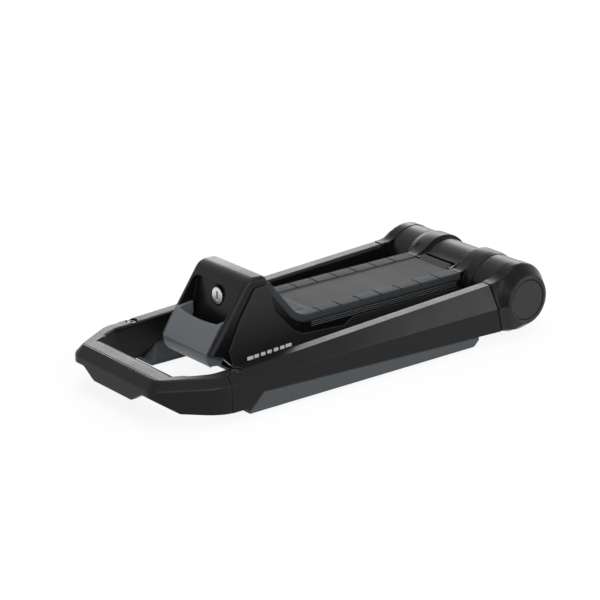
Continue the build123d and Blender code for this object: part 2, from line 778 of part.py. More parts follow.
# Hinge housing at the rear of the base: centre barrel, two collars and a neck to the chassis
with BuildPart() as hinge_housing:
    collar_profile = [(barrel_half_width, 0), (barrel_half_width, collar_radius),
                      (collar_half_width - collar_bevel_length, collar_radius),
                      (collar_half_width, collar_radius - collar_bevel), (collar_half_width, 0)]
    ring(0, barrel_radius, -barrel_half_width, barrel_half_width)
    turned(collar_profile)
    turned([(-place, radius) for place, radius in collar_profile])
    for side in (-1, 1):
        collar_start = barrel_half_width if side == 1 else -chassis_half_width
        neck_slab(collar_radius, collar_start, collar_start + chassis_half_width - barrel_half_width)
    neck_slab(barrel_radius, -barrel_half_width, barrel_half_width)
    block((neck_start_x, slot_x), (-slot_half_length, slot_half_length),
          (pad_top_z - channel_depth - pad_tongue_thickness - slide_gap, above_all), mode=Mode.SUBTRACT)
    block((neck_start_x - tongue_length, neck_start_x), (-tongue_half_width, tongue_half_width),
          (floor_top_z, floor_top_z + tongue_thickness))
    block((slot_x, slot_x + slot_width), (-slot_half_length, slot_half_length),
          (pad_top_z - slot_depth, above_all), mode=Mode.SUBTRACT)
    ring(0, shaft_radius + slide_gap, -collar_half_width, collar_half_width, mode=Mode.SUBTRACT)
    for start in (collar_half_width - bush_length, -collar_half_width):
        ring(0, shaft_radius + bush_wall, start, start + bush_length, mode=Mode.SUBTRACT)
    for side in (-1, 1):
        rod_along_z(tongue_screw_x, side * tongue_screw_y, screw_shank_radius, floor_top_z,
                    floor_top_z + tongue_thickness, mode=Mode.SUBTRACT)
save(hinge_housing, "hinge_housing")

# Flanged bushes in which the shaft turns
with BuildPart() as hinge_bushes:
    bush_bore = shaft_radius + running_gap
    bush_outer = shaft_radius + bush_wall
    rings(bush_bore, bush_outer, collar_half_width - bush_length, collar_half_width)
    rings(bush_bore, bush_outer + bush_flange_width, collar_half_width, collar_half_width + bush_flange)
save(hinge_bushes, "hinge_bushes")

# Chassis: a folded channel that carries the clamp, with a hole for each bolt
with BuildPart() as base_chassis:
    block((chassis_front_x, chassis_rear_x), (-chassis_half_width, chassis_half_width),
          (saddle_thickness, tray_under_z - seam_gap))
    block((chassis_front_x - beyond, chassis_rear_x + beyond), (-chassis_inner, chassis_inner),
          (floor_top_z, above_all), mode=Mode.SUBTRACT)
    for place in (bolt_front_x, bolt_rear_x):
        rod_along_z(place, 0, bolt_hole_radius, 0, above_all, mode=Mode.SUBTRACT)
    for side in (-1, 1):
        rod_along_z(tongue_screw_x, side * tongue_screw_y, screw_shank_radius, 0, above_all,
                    mode=Mode.SUBTRACT)
save(base_chassis, "base_chassis")

# Screws that hold the housing's tongue on the chassis floor
with BuildPart() as housing_screws:
    for side in (-1, 1):
        screw(tongue_screw_x, side * tongue_screw_y, floor_top_z + tongue_thickness)
save(housing_screws, "housing_screws")

# Rubber saddle on the bar, with grooves across it
with BuildPart() as bar_saddle:
    block((saddle_front_x, saddle_rear_x), (-saddle_half_width, saddle_half_width), (0, saddle_thickness))
    groove_count = int((saddle_rear_x - saddle_front_x) // groove_pitch)
    first_groove = (saddle_front_x + saddle_rear_x - (groove_count - 1) * groove_pitch) / 2
    for number in range(groove_count):
        groove_x = first_groove + number * groove_pitch
        block((groove_x - groove_width / 2, groove_x + groove_width / 2),
              (-saddle_half_width, saddle_half_width), (-beyond, groove_depth), mode=Mode.SUBTRACT)
    for place in (bolt_front_x, bolt_rear_x):
        rod_along_z(place, 0, bolt_hole_radius, -beyond, saddle_thickness, mode=Mode.SUBTRACT)
save(bar_saddle, "bar_saddle")

# The pad's slope behind the toe
slope_rate = (pad_top_z - pad_slope_top_z) / (pad_slope_foot_x - pad_slope_top_x)
slope_stretch = math.hypot(1, slope_rate)


def slope_x(z, depth):
    """Place along X where the line at a depth below the pad's slope reaches a height."""
    return pad_slope_top_x + (z - pad_slope_top_z + depth * slope_stretch) / slope_rate


def slope_end(depth):
    """Upper end of the line at a depth below the pad's slope, square to the slope."""
    return (pad_slope_top_x + depth * slope_rate / slope_stretch, pad_slope_top_z - depth / slope_stretch)


def slope_foot(depth):
    """Corner, in X and Z, where the slope meets the flat at a depth below the pad's top."""
    return (slope_x(pad_top_z - depth, depth), pad_top_z - depth)


def bent_layer(depth_top, depth_bottom, half_width):
    """Add a layer of the pad or its tray: flat over the base and bent up the slope."""
    with BuildSketch(side_plane(-half_width)) as outline:
        with BuildLine():
            Polyline(slope_end(depth_top), slope_foot(depth_top), (pad_rear_x, pad_top_z - depth_top),
                     (pad_rear_x, pad_top_z - depth_bottom), slope_foot(depth_bottom),
                     slope_end(depth_bottom), close=True)
        make_face()
        for depth in (depth_top, depth_bottom):
            corner = outline.vertices().sort_by_distance((*slope_foot(depth), 0))[0]
            fillet(corner, radius=pad_bend_radius + depth)
    extrude(outline.sketch, amount=2 * half_width, dir=(0, 1, 0))


def clear_of_panels():
    """Cut the places where the side panels' peaks stand beside the slope."""
    peak = [(panel_rim_x, panel_rim_z), (panel_peak_x, panel_peak_z + seam_gap),
            (panel_back_x + seam_gap, panel_peak_z + seam_gap),
            (crease_peak_x + seam_gap, crease_peak_z), (crease_top_x, crease_top_z)]
    for start in (chassis_half_width - seam_gap, -tray_half_width - beyond):
        side_slab(peak, start, start + tray_half_width + beyond - chassis_half_width + seam_gap,
                  mode=Mode.SUBTRACT)


# Top pad: two raised strips with notches, a lower channel between them and a tongue to the slot
with BuildPart() as base_pad:
    bent_layer(0, pad_thickness, pad_half_width)
    clear_of_panels()
    channel_end_x = pad_slope_foot_x + pad_bend_radius
    block((channel_end_x, pad_rear_x + beyond), (-strip_inner, strip_inner),
          (pad_top_z - channel_depth, pad_top_z + beyond), mode=Mode.SUBTRACT)
    tongue_foot_x = pad_rear_x - notch_width
    tongue_foot_z = pad_top_z - channel_depth
    tongue_end_z = pad_top_z + pad_tongue_rise
    side_slab([(tongue_foot_x, tongue_foot_z), (slot_x, tongue_end_z),
               (slot_x, tongue_end_z - pad_tongue_thickness),
               (tongue_foot_x, tongue_foot_z - pad_tongue_thickness)],
              slide_gap - slot_half_length, slot_half_length - slide_gap)
    for number in range(notch_count):
        notch_x = notch_first_x + number * notch_pitch
        for start in (strip_inner - beyond, -pad_half_width - beyond):
            block((notch_x - notch_width / 2, notch_x + notch_width / 2),
                  (start, start + pad_half_width - strip_inner + 2 * beyond),
                  (pad_top_z - notch_depth, pad_top_z + beyond), mode=Mode.SUBTRACT)
save(base_pad, "base_pad")

# Pad tray: a deck under the pad, with a skirt down each side to the side panels
crease = [(crease_top_x, crease_top_z), (crease_bend_x, crease_bend_z), (crease_low_x, crease_low_z),
          (crease_step_x, crease_step_low_z), (crease_step_end_x, crease_rear_z),
          (chassis_rear_x, crease_rear_z)]
with BuildPart() as pad_tray:
    bent_layer(pad_thickness, pad_thickness + tray_thickness, tray_half_width)
    skirt_depth = pad_thickness + seam_gap
    skirt = [slope_end(skirt_depth), slope_end(pad_thickness + tray_thickness)] + crease + [
        (chassis_rear_x, pad_top_z - skirt_depth), slope_foot(skirt_depth)]
    side_slabs(skirt, chassis_half_width, tray_half_width)
    clear_of_panels()
save(pad_tray, "pad_tray")

# Side panels: raised plates over the toe's sides and along the chassis, below the crease
with BuildPart() as side_panel_left:
    lowered = [(x - seam_gap, z - seam_gap) for x, z in crease]
    panel = [(toe_chin_x, toe_chin_z), (panel_front_x, panel_front_z), (panel_rim_x, panel_rim_z),
             (panel_peak_x, panel_peak_z), (panel_back_x, panel_peak_z),
             (crease_peak_x, crease_peak_z)] + lowered + [
        (chassis_rear_x - seam_gap, panel_bottom_z), (chassis_front_x, panel_bottom_z),
        (chassis_front_x, toe_chin_z)]
    side_slab(panel, chassis_half_width, panel_outer)
    peak = side_panel_left.edges().filter_by(Axis.Y).sort_by(Axis.Z)[-2:]
    fillet(peak, radius=panel_peak_radius)
save(side_panel_left, "side_panel_left")
save(mirrored(side_panel_left), "side_panel_right")


# Toe hood: roof, two cheeks and the leaning wall that holds the lock
def wall_x(z):
    """Place along X of the lock wall's front face at a height."""
    return lock_wall_x + (z - lock_z) * lock_wall_lean


with BuildPart() as toe_recess:
    with BuildSketch(section_plane(toe_front_x - beyond)) as recess_front:
        with Locations((0, recess_top_z / 2)):
            Rectangle(2 * recess_half_width, recess_top_z)
        fillet(recess_front.vertices().group_by(Axis.Z)[-1], radius=recess_corner)
    extrude(recess_front.sketch, amount=toe_rear_x - toe_front_x, dir=(1, 0, 0))
    side_slab([(wall_x(0), 0), (wall_x(above_all), above_all), (0, above_all), (0, 0)],
              -chassis_half_width, chassis_half_width, mode=Mode.SUBTRACT)

with BuildPart() as toe_hood:
    under_tray = pad_thickness + tray_thickness + seam_gap
    tray_end = slope_end(under_tray)
    tray_foot = slope_foot(under_tray)
    hood = [(toe_front_x, toe_front_z), (toe_brow_x, toe_brow_z), (toe_rear_x, toe_rear_z),
            (pad_slope_top_x - seam_gap, pad_slope_top_z + seam_gap), (tray_end[0] - seam_gap, tray_end[1]),
            tray_foot, (chassis_front_x - seam_gap, tray_foot[1]),
            (chassis_front_x - seam_gap, toe_chin_z), (toe_chin_x, toe_chin_z), (toe_step_x, toe_step_z)]
    side_slab(hood, -chassis_half_width, chassis_half_width)
    brow = toe_hood.edges().filter_by(Axis.Y).group_by(Axis.Z)[-1]
    fillet(brow, radius=toe_brow_radius)
    roof_rear = toe_hood.edges().filter_by(Axis.Y).sort_by_distance((toe_rear_x, 0, toe_rear_z))[0]
    fillet(roof_rear, radius=toe_rear_radius)
    for side in (1, -1):
        outer_face = toe_hood.faces().filter_by(Axis.Y).sort_by(Axis.Y)[-1 if side == 1 else 0]
        rim = [edge for edge in outer_face.edges()
               if edge.center().Z > toe_front_z and edge.center().X < toe_rear_x - roof_lip]
        fillet(rim, radius=toe_edge_radius)
    add(toe_recess.part, mode=Mode.SUBTRACT)
    under_wall = [(toe_front_x - beyond, 0), (0, 0), (0, lock_wall_bottom_z),
                  (toe_front_x - beyond, lock_wall_bottom_z)]
    side_slab(under_wall, -recess_half_width, recess_half_width, mode=Mode.SUBTRACT)
    wall_rear_top = (wall_x(roof_under_z) + lock_wall_thickness, roof_under_z)
    hollow = [(wall_x(0) + lock_wall_thickness, 0), wall_rear_top,
              (tray_end[0] - roof_lip, roof_under_z), (tray_end[0] - roof_lip, tray_end[1]),
              (0, tray_end[1]), (0, 0)]
    hollow_half = chassis_half_width - toe_wall
    side_slab(hollow, -hollow_half, hollow_half, mode=Mode.SUBTRACT)
    rod_along_x(0, lock_z, lock_housing_radius, toe_front_x, 0, mode=Mode.SUBTRACT)
    rod_along_y(lever_pivot_x, lever_pivot_z, lever_pin_radius, -lever_pin_half_length,
                lever_pin_half_length, mode=Mode.SUBTRACT)
save(toe_hood, "toe_hood")

# Lock: a housing in the wall, a plug that turns in it and a cam on the plug's inner end
lock_front_x = lock_wall_x - lock_face_proud
with BuildPart() as lock_housing:
    rod_along_x(0, lock_z, lock_housing_radius, lock_front_x, lock_wall_x + lock_housing_length)
    rod_along_x(0, lock_z, lock_plug_radius + running_gap, lock_front_x - beyond, cam_x,
                mode=Mode.SUBTRACT)
save(lock_housing, "lock_housing")

with BuildPart() as lock_plug:
    rod_along_x(0, lock_z, lock_plug_radius, lock_front_x, cam_x)
    block((lock_front_x - beyond, lock_front_x + key_slot_depth),
          (-key_slot_width / 2, key_slot_width / 2),
          (lock_z - key_slot_length / 2, lock_z + key_slot_length / 2), mode=Mode.SUBTRACT)
save(lock_plug, "lock_plug")

with BuildPart() as lock_cam:
    rod_along_x(0, lock_z, cam_hub_radius, cam_x, cam_rear_x)
    block((cam_x, cam_rear_x), (0, cam_reach), (lock_z - cam_width / 2, lock_z + cam_width / 2))
    rod_along_x(0, lock_z, screw_shank_radius, cam_x, cam_rear_x, mode=Mode.SUBTRACT)
save(lock_cam, "lock_cam")

with BuildPart() as cam_screw:
    rod_along_x(0, lock_z, screw_shank_radius, cam_x, cam_rear_x)
    rod_along_x(0, lock_z, screw_head_radius, cam_rear_x, cam_rear_x + screw_head_height)
save(cam_screw, "cam_screw")

# Clamp lever: finger plate, drum skin, two side flanges and two webs that carry the crank pin
lever_half = recess_half_width - lever_gap
drum_front = drum_point(drum_radius, 180)
plate_lean = math.atan2(lever_top_z - lever_pivot_z, lever_top_x - drum_front[0])
plate_depth = lever_skin / math.sin(plate_lean)
with BuildPart() as drum_skin:
    wedge_reach = 2 * drum_radius
    side_slab([(lever_pivot_x, lever_pivot_z), drum_point(wedge_reach, 180),
               drum_point(wedge_reach, drum_middle_angle), drum_point(wedge_reach, drum_end_angle)],
              -lever_half, lever_half)
    rod_along_y(lever_pivot_x, lever_pivot_z, drum_radius, -lever_half, lever_half, mode=Mode.INTERSECT)
    rod_along_y(lever_pivot_x, lever_pivot_z, drum_radius - lever_skin, -lever_half, lever_half,
                mode=Mode.SUBTRACT)

with BuildPart() as finger_cut:
    finger_span_x = (toe_front_x - beyond, lever_top_x + plate_depth)
    rod_along_x(0, lever_top_z - finger_dip + finger_dip_radius, finger_dip_radius, *finger_span_x)
    finger_half = lever_half - lever_flange_thickness
    block(finger_span_x, (-finger_half, finger_half), (lever_pivot_z, above_all), mode=Mode.INTERSECT)

with BuildPart() as clamp_lever:
    plate = [drum_front, (lever_top_x, lever_top_z), (lever_top_x + plate_depth, lever_top_z),
             (drum_front[0] + plate_depth, lever_pivot_z)]
    side_slab(plate, -lever_half, lever_half)
    add(drum_skin.part)
    rib_radius = drum_radius - lever_skin / 2
    rib_front = [drum_point(rib_radius, drum_end_angle), drum_point(rib_radius, drum_middle_angle),
                 drum_point(rib_radius, 180)]
    hub_front = [drum_point(lever_hub_radius, 0), drum_point(lever_hub_radius, lever_hub_low_angle),
                 drum_point(crank_radius + crank_boss_radius, crank_web_angle)]
    flange = rib_front + [(lever_top_x, lever_top_z), (lever_flange_rear_x, lever_flange_top_z),
                          (lever_flange_rear_x, lever_flange_low_z)] + hub_front
    side_slabs(flange, lever_half - lever_flange_thickness, lever_half)
    hub_top = [drum_point(lever_hub_radius, 90), drum_point(lever_hub_radius, lever_hub_start_angle)]
    web = rib_front + hub_top + hub_front
    side_slabs(web, web_inner, web_inner + web_thickness)
    add(finger_cut.part, mode=Mode.SUBTRACT)
    rod_along_y(lever_pivot_x, lever_pivot_z, lever_pin_radius + running_gap, -lever_half, lever_half,
                mode=Mode.SUBTRACT)
    rod_along_y(crank_x, crank_z, crank_pin_radius, -web_inner - web_thickness,
                web_inner + web_thickness, mode=Mode.SUBTRACT)
save(clamp_lever, "clamp_lever")

with BuildPart() as lever_pin:
    rod_along_y(lever_pivot_x, lever_pivot_z, lever_pin_radius, -lever_pin_half_length,
                lever_pin_half_length)
save(lever_pin, "lever_pin")

with BuildPart() as crank_pin:
    rod_along_y(crank_x, crank_z, crank_pin_radius, -web_inner - web_thickness,
                web_inner + web_thickness)
save(crank_pin, "crank_pin")

# Pull rod: a fork over the crank pin in front and a lug that the lock's cam can block
rod_span_y = (-rod_half_width, rod_half_width)
lug_rear_x = cam_x - slide_gap
rod_screw_x = rod_rear_x - bridge_length / 2
with BuildPart() as pull_rod:
    block((crank_x - fork_half_length, crank_x + fork_half_length), rod_span_y, (fork_bottom_z, rod_top_z))
    block((crank_x, rod_rear_x), rod_span_y, (rod_bottom_z, rod_top_z))
    block((lug_rear_x - lug_length, lug_rear_x), rod_span_y, (rod_bottom_z, lug_top_z))
    fork_reach = crank_pin_radius + fork_side_play
    block((crank_x - fork_reach, crank_x + fork_reach), rod_span_y,
          (0, crank_z + crank_pin_radius + fork_play), mode=Mode.SUBTRACT)
    rod_along_z(rod_screw_x, 0, screw_shank_radius, rod_bottom_z, rod_top_z, mode=Mode.SUBTRACT)
save(pull_rod, "pull_rod")

# Draw carriage: two plates with sloping slots, joined by a bridge under the rod
with BuildPart() as draw_carriage:
    carriage_rear_x = bolt_rear_x + nut_block_length / 2 + carriage_rear_margin
    carriage_outer = carriage_inner + carriage_wall
    block((carriage_front_x, carriage_rear_x), (-carriage_outer, carriage_outer),
          (carriage_bottom_z, rod_bottom_z))
    block((carriage_front_x + bridge_length, carriage_rear_x + beyond), (-carriage_inner, carriage_inner),
          (0, above_all), mode=Mode.SUBTRACT)
    block((carriage_front_x - beyond, carriage_front_x + bridge_length), (-carriage_inner, carriage_inner),
          (0, bridge_bottom_z), mode=Mode.SUBTRACT)
    slot_slope = math.atan2(nut_rise, rod_travel)
    slot_radius = trunnion_radius + running_gap
    for place in (bolt_front_x, bolt_rear_x):
        upper = (place, trunnion_z)
        lower = (place - rod_travel, trunnion_z - nut_rise)
        side_x = slot_radius * math.sin(slot_slope)
        side_z = slot_radius * math.cos(slot_slope)
        side_slab([(upper[0] - side_x, upper[1] + side_z), (lower[0] - side_x, lower[1] + side_z),
                   (lower[0] + side_x, lower[1] - side_z), (upper[0] + side_x, upper[1] - side_z)],
                  -carriage_outer, carriage_outer, mode=Mode.SUBTRACT)
        for slot_end in (upper, lower):
            rod_along_y(*slot_end, slot_radius, -carriage_outer, carriage_outer, mode=Mode.SUBTRACT)
    rod_along_z(rod_screw_x, 0, screw_shank_radius, 0, rod_bottom_z, mode=Mode.SUBTRACT)
save(draw_carriage, "draw_carriage")

with BuildPart() as rod_screw:
    screw(rod_screw_x, 0, rod_top_z)
    rod_along_z(rod_screw_x, 0, screw_shank_radius, bridge_bottom_z, rod_top_z)
save(rod_screw, "rod_screw")


# Draw nuts and the portals that keep them upright
def draw_nut(place, name):
    """Model a draw nut over the bolt hole at a place along X, with a trunnion on each side."""
    with BuildPart() as nut:
        nut_top_z = nut_block_bottom_z + nut_block_height
        half_length = nut_block_length / 2
        rod_along_y(place, trunnion_z, trunnion_radius, -trunnion_reach, trunnion_reach)
        block((place - half_length, place + half_length), (-nut_block_half_width, nut_block_half_width),
              (nut_block_bottom_z, nut_top_z))
        rod_along_z(place, 0, bolt_hole_radius, nut_block_bottom_z, nut_top_z, mode=Mode.SUBTRACT)
    save(nut, name)


def nut_guide(place, name):
    """Model a portal round the draw nut at a place along X, standing on the chassis floor."""
    with BuildPart() as portal:
        inside = nut_block_length / 2 + slide_gap
        outside = inside + guide_post
        block((place - outside, place + outside), (-nut_block_half_width, nut_block_half_width),
              (floor_top_z, guide_top_z))
        block((place - inside, place + inside), (-carriage_inner, carriage_inner),
              (0, guide_top_z - guide_post), mode=Mode.SUBTRACT)
        rod_along_z(place, 0, bolt_hole_radius, 0, above_all, mode=Mode.SUBTRACT)
    save(portal, name)


draw_nut(bolt_front_x, "draw_nut_front")
draw_nut(bolt_rear_x, "draw_nut_rear")
nut_guide(bolt_front_x, "nut_guide_front")
nut_guide(bolt_rear_x, "nut_guide_rear")
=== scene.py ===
"""Looks of a folding kayak cradle for a roof bar, lying folded flat: mouldings, pads, lock and light."""

import json
import logging
import math
from dataclasses import dataclass
from enum import Enum
from typing import Iterable, Sequence

import bmesh
import bpy
import numpy as np
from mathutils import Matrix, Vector
from mathutils.bvhtree import BVHTree

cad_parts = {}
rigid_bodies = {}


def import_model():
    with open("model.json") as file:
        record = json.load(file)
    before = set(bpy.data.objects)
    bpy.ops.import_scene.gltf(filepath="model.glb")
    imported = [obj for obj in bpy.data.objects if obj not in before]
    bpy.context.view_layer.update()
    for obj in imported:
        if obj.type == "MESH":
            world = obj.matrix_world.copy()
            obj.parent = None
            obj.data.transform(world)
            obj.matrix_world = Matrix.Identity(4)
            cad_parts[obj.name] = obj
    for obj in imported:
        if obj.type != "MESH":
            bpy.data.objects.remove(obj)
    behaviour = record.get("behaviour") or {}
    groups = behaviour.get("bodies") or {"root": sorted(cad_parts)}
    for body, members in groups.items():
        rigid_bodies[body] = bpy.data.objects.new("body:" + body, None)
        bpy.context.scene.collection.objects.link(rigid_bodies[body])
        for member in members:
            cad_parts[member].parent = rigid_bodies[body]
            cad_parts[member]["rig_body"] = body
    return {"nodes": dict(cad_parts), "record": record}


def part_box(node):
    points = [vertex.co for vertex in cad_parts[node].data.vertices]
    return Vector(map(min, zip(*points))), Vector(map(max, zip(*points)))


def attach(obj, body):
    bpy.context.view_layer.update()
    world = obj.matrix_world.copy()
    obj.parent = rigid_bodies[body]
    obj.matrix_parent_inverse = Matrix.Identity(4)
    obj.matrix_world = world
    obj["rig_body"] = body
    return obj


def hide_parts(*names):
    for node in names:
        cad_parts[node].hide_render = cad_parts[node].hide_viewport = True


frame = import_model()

log = logging.getLogger("kayak_cradle")

# A millimetre in metres, and a quarter turn in radians
MM = 0.001
QUARTER = math.pi / 2
# An edge of a made surface that bends more than this stays sharp
SMOOTH_DEG = 32.0
# Points of a made surface that lie closer than this become one
DOUBLE_MM = 1e-4
# How many samples stand behind each point of a rounded outline
LOOP_SAMPLES = 8
# How many lines draw a quarter circle where a form turns or closes
ARC_LINES = 6
# Distance between the crests of a wave pattern whose scale is 1
WAVE_PERIOD = 0.314

Piece = bpy.types.Object
Tree = bpy.types.NodeTree
Node = bpy.types.Node
Socket = bpy.types.NodeSocket
Shape = tuple[np.ndarray, Sequence]
Table = tuple[tuple[float, float], ...]


def linear(hex_code: str) -> tuple[float, float, float, float]:
    """Turn an sRGB colour, written as in a paint chart, into the linear values a shader takes.

    Args:
        hex_code: the colour as #rrggbb.

    Returns:
        Red, green, blue and a full alpha, each from 0 to 1.
    """
    shares = [int(hex_code[start:start + 2], 16) / 255 for start in (1, 3, 5)]
    return (*[s / 12.92 if s <= 0.04045 else ((s + 0.055) / 1.055) ** 2.4 for s in shares], 1.0)


def add_node(tree: Tree, kind: str, settings: dict | None = None, links: dict | None = None) -> Node:
    """Add one node, set its fields and sockets, and link what feeds it.

    Args:
        tree: the node tree that gets the node.
        kind: the node's type name in Blender.
        settings: values by field name, or by socket name or number where no such field exists.
        links: output sockets by the name or number of the input that each feeds.

    Returns:
        The new node.
    """
    node = tree.nodes.new(kind)
    for name, value in (settings or {}).items():
        if isinstance(name, str) and hasattr(node, name):
            setattr(node, name, value)
        else:
            node.inputs[name].default_value = value
    for name, output in (links or {}).items():
        tree.links.new(output, node.inputs[name])
    return node


def empty_tree(owner: bpy.types.Material | bpy.types.World) -> Tree:
    """Give a material or a world a node tree with nothing in it.

    Args:
        owner: the material or the world.

    Returns:
        Its empty node tree.
    """
    owner.use_nodes = True
    owner.node_tree.nodes.clear()
    return owner.node_tree


def into_scene(name: str, data: bpy.types.ID) -> Piece:
    """Put a mesh, a lamp or a camera into the scene as an object at the origin.

    Args:
        name: the object's name.
        data: the mesh, lamp or camera.

    Returns:
        The object.
    """
    made = bpy.data.objects.new(name, data)
    bpy.context.scene.collection.objects.link(made)
    return made


def look_along(made: Piece, direction: Vector) -> None:
    """Turn a lamp or a camera to a direction."""
    made.rotation_mode = "QUATERNION"
    made.rotation_quaternion = direction.to_track_quat("-Z", "Y")


def blobs(size_mm: float, octaves: float) -> dict:
    """Settings of a noise whose blobs have a real size, with a number of finer octaves."""
    return {"Scale": 1 / (size_mm * MM), "Detail": octaves, "Roughness": 0.55}


def span(low: float, high: float) -> dict:
    """Settings that stretch the middle of a pattern, from 0.3 to 0.7, over the span from low to high."""
    return {"From Min": 0.3, "From Max": 0.7, "To Min": low, "To Max": high}


class Side(Enum):
    """The two sides of the symmetric cradle, as the sign of their place along Y."""

    LEFT = 1
    RIGHT = -1

    @property
    def word(self) -> str:
        """The side's name as the nodes spell it."""
        return self.name.lower()

    def outer_wall(self, node: str) -> float:
        """Place along Y of a node's outermost wall on this side, in millimetres."""
        low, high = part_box(node)
        return (high if self is Side.LEFT else low).y / MM


class Facing(Enum):
    """How the lines of a worked metal surface run."""

    TURNED = "turned"
    TUMBLED = "tumbled"


@dataclass(frozen=True)
class Finish:
    """A surface finish, made into a node material once and then shared.

    Attributes:
        title: name of the real material and of how its surface was made.
        colour: main colour in sRGB.
        roughness: typical roughness of the surface.
        slot: the record's material slot that pieces in this finish take.
        marked: the colours of marked places, each after the name of the mark on the piece's points.
        uneven: how far the roughness strays below and above its typical value.
    """

    title: str
    colour: str
    roughness: float
    slot: str
    marked: tuple[tuple[str, str], ...] = ()
    uneven: tuple[float, float] = (0.0, 0.0)

    def material(self) -> bpy.types.Material:
        """Find the finish's material, or build it the first time.

        Returns:
            The material that all pieces in this finish share.
        """
        found = bpy.data.materials.get(self.title)
        if found:
            return found
        made = bpy.data.materials.new(self.title)
        tree = empty_tree(made)
        place = add_node(tree, "ShaderNodeTexCoord").outputs["Object"]
        shader = self.dress(tree, place)
        add_node(tree, "ShaderNodeOutputMaterial", links={"Surface": shader.outputs["BSDF"]})
        return made

    def dress(self, tree: Tree, place: Socket) -> Node:
        """Build the finish's nodes and return its shader."""
        raise NotImplementedError

    def rough_span(self) -> dict:
        """Settings that stretch the middle of a pattern over the finish's span of roughness."""
        return span(*[self.roughness + stray for stray in self.uneven])

    def tinted(self, tree: Tree, pattern: Socket, second: str) -> Socket:
        """Mix the main colour with a second one, and lay the colours of marked places over both.

        Args:
            tree: the material's nodes.
            pattern: 0 for the main colour to 1 for the second.
            second: the second colour in sRGB.

        Returns:
            The mixed colour.
        """
        both = {"data_type": "RGBA", 6: linear(self.colour), 7: linear(second)}
        mixed = add_node(tree, "ShaderNodeMix", both, {0: pattern}).outputs[2]
        for name, colour in self.marked:
            mark = add_node(tree, "ShaderNodeAttribute", {"attribute_name": name}).outputs["Fac"]
            mixed = add_node(tree, "ShaderNodeMix", {"data_type": "RGBA", 7: linear(colour)},
                             {0: mark, 6: mixed}).outputs[2]
        return mixed

    def surfaced(self, tree: Tree, height: Socket, depth_mm: float, settings: dict, links: dict) -> Node:
        """Raise a pattern on the surface and add the shader.

        Args:
            tree: the material's nodes.
            height: pattern of heights from 0 to 1.
            depth_mm: the height that 1 stands for.
            settings: the shader's values that are the same all over.
            links: what feeds the shader, apart from its normal.

        Returns:
            The shader.
        """
        raised = add_node(tree, "ShaderNodeBump", {"Distance": depth_mm * MM, "Strength": 1.0},
                          {"Height": height})
        return add_node(tree, "ShaderNodeBsdfPrincipled", settings,
                        {"Normal": raised.outputs["Normal"], **links})


@dataclass(frozen=True)
class MouldedPlastic(Finish):
    """Glass-filled nylon from a spark-eroded mould: a satin skin with a fine even grain.

    The grain is drawn about three times as coarse as the real one, so that it shows. Handling
    polishes the edges, which are a little paler and smoother. Where a finish gives its edges a much
    paler colour, that paler colour is a painted highlight.

    Attributes:
        grain_mm: size of the grain.
        grain_depth_mm: its depth.
        edge_colour: the colour of handled edges, which in the pale-edged finishes is a painted highlight.
        worn: how far the edges take that colour, as wear and as a painted highlight.
        specular: strength of the sheen, where 0.5 is the plain value.
        flow_mm: size of the slow changes that the plastic's flow leaves.
        scuff_mm: size of the patches in which edges take the edge colour.
        edge_mm: how far from an edge the edge colour reaches.
        edge_match: how well the two normals match where the edge colour starts and where it is full.
        polish: how much smoother the edges get where they are handled.
        ior: the plastic's index of refraction.
    """

    uneven: tuple[float, float] = (-0.04, 0.05)
    grain_mm: float = 0.9
    grain_depth_mm: float = 0.02
    edge_colour: str = "#3a3a3b"
    worn: float = 0.5
    specular: float = 0.5
    flow_mm: float = 38.0
    scuff_mm: float = 6.0
    edge_mm: float = 0.7
    edge_match: tuple[float, float] = (0.995, 0.9)
    polish: float = 0.14
    ior: float = 1.53

    def edges(self, tree: Tree) -> Socket:
        """Find the edges of a piece, where a rounded normal leaves the true one.

        Args:
            tree: the material's nodes.

        Returns:
            0 on plain surfaces, rising to 1 on edges.
        """
        rounded = add_node(tree, "ShaderNodeBevel", {"samples": 6, "Radius": self.edge_mm * MM})
        true = add_node(tree, "ShaderNodeNewGeometry")
        match = add_node(tree, "ShaderNodeVectorMath", {"operation": "DOT_PRODUCT"},
                         {0: rounded.outputs["Normal"], 1: true.outputs["Normal"]})
        start, full = self.edge_match
        settings = {"From Min": start, "From Max": full, "To Min": 0.0, "To Max": 1.0}
        return add_node(tree, "ShaderNodeMapRange", settings,
                        {"Value": match.outputs["Value"]}).outputs["Result"]

    def dress(self, tree: Tree, place: Socket) -> Node:
        """Mix flow marks, grain, and edges made paler by handling and by painted highlight into one plastic.

        Args:
            tree: the material's nodes.
            place: the coordinate that the patterns read.

        Returns:
            The shader.
        """
        flow, grain, wear_and_highlight_noise = [
            add_node(tree, "ShaderNodeTexNoise", blobs(size, octaves), {"Vector": place}).outputs["Fac"]
            for size, octaves in ((self.flow_mm, 2.0), (self.grain_mm, 2.0), (self.scuff_mm, 5.0))]
        patches = add_node(tree, "ShaderNodeMapRange", span(0.1, self.worn), {"Value": wear_and_highlight_noise})
        wear_and_highlight_mask = add_node(tree, "ShaderNodeMath", {"operation": "MULTIPLY"},
                          {0: self.edges(tree), 1: patches.outputs["Result"]}).outputs["Value"]
        unrubbed = add_node(tree, "ShaderNodeMapRange", self.rough_span(), {"Value": flow})
        rough = add_node(tree, "ShaderNodeMath", {"operation": "MULTIPLY_ADD", 1: -self.polish},
                         {0: wear_and_highlight_mask, 2: unrubbed.outputs["Result"]})
        # The edge colour stands for wear, and on the side panels and the tray's ribs for a painted highlight
        # as well
        return self.surfaced(tree, grain, self.grain_depth_mm,
                             {"IOR": self.ior, "Specular IOR Level": self.specular},
                             {"Base Color": self.tinted(tree, wear_and_highlight_mask, self.edge_colour),
                              "Roughness": rough.outputs["Value"]})


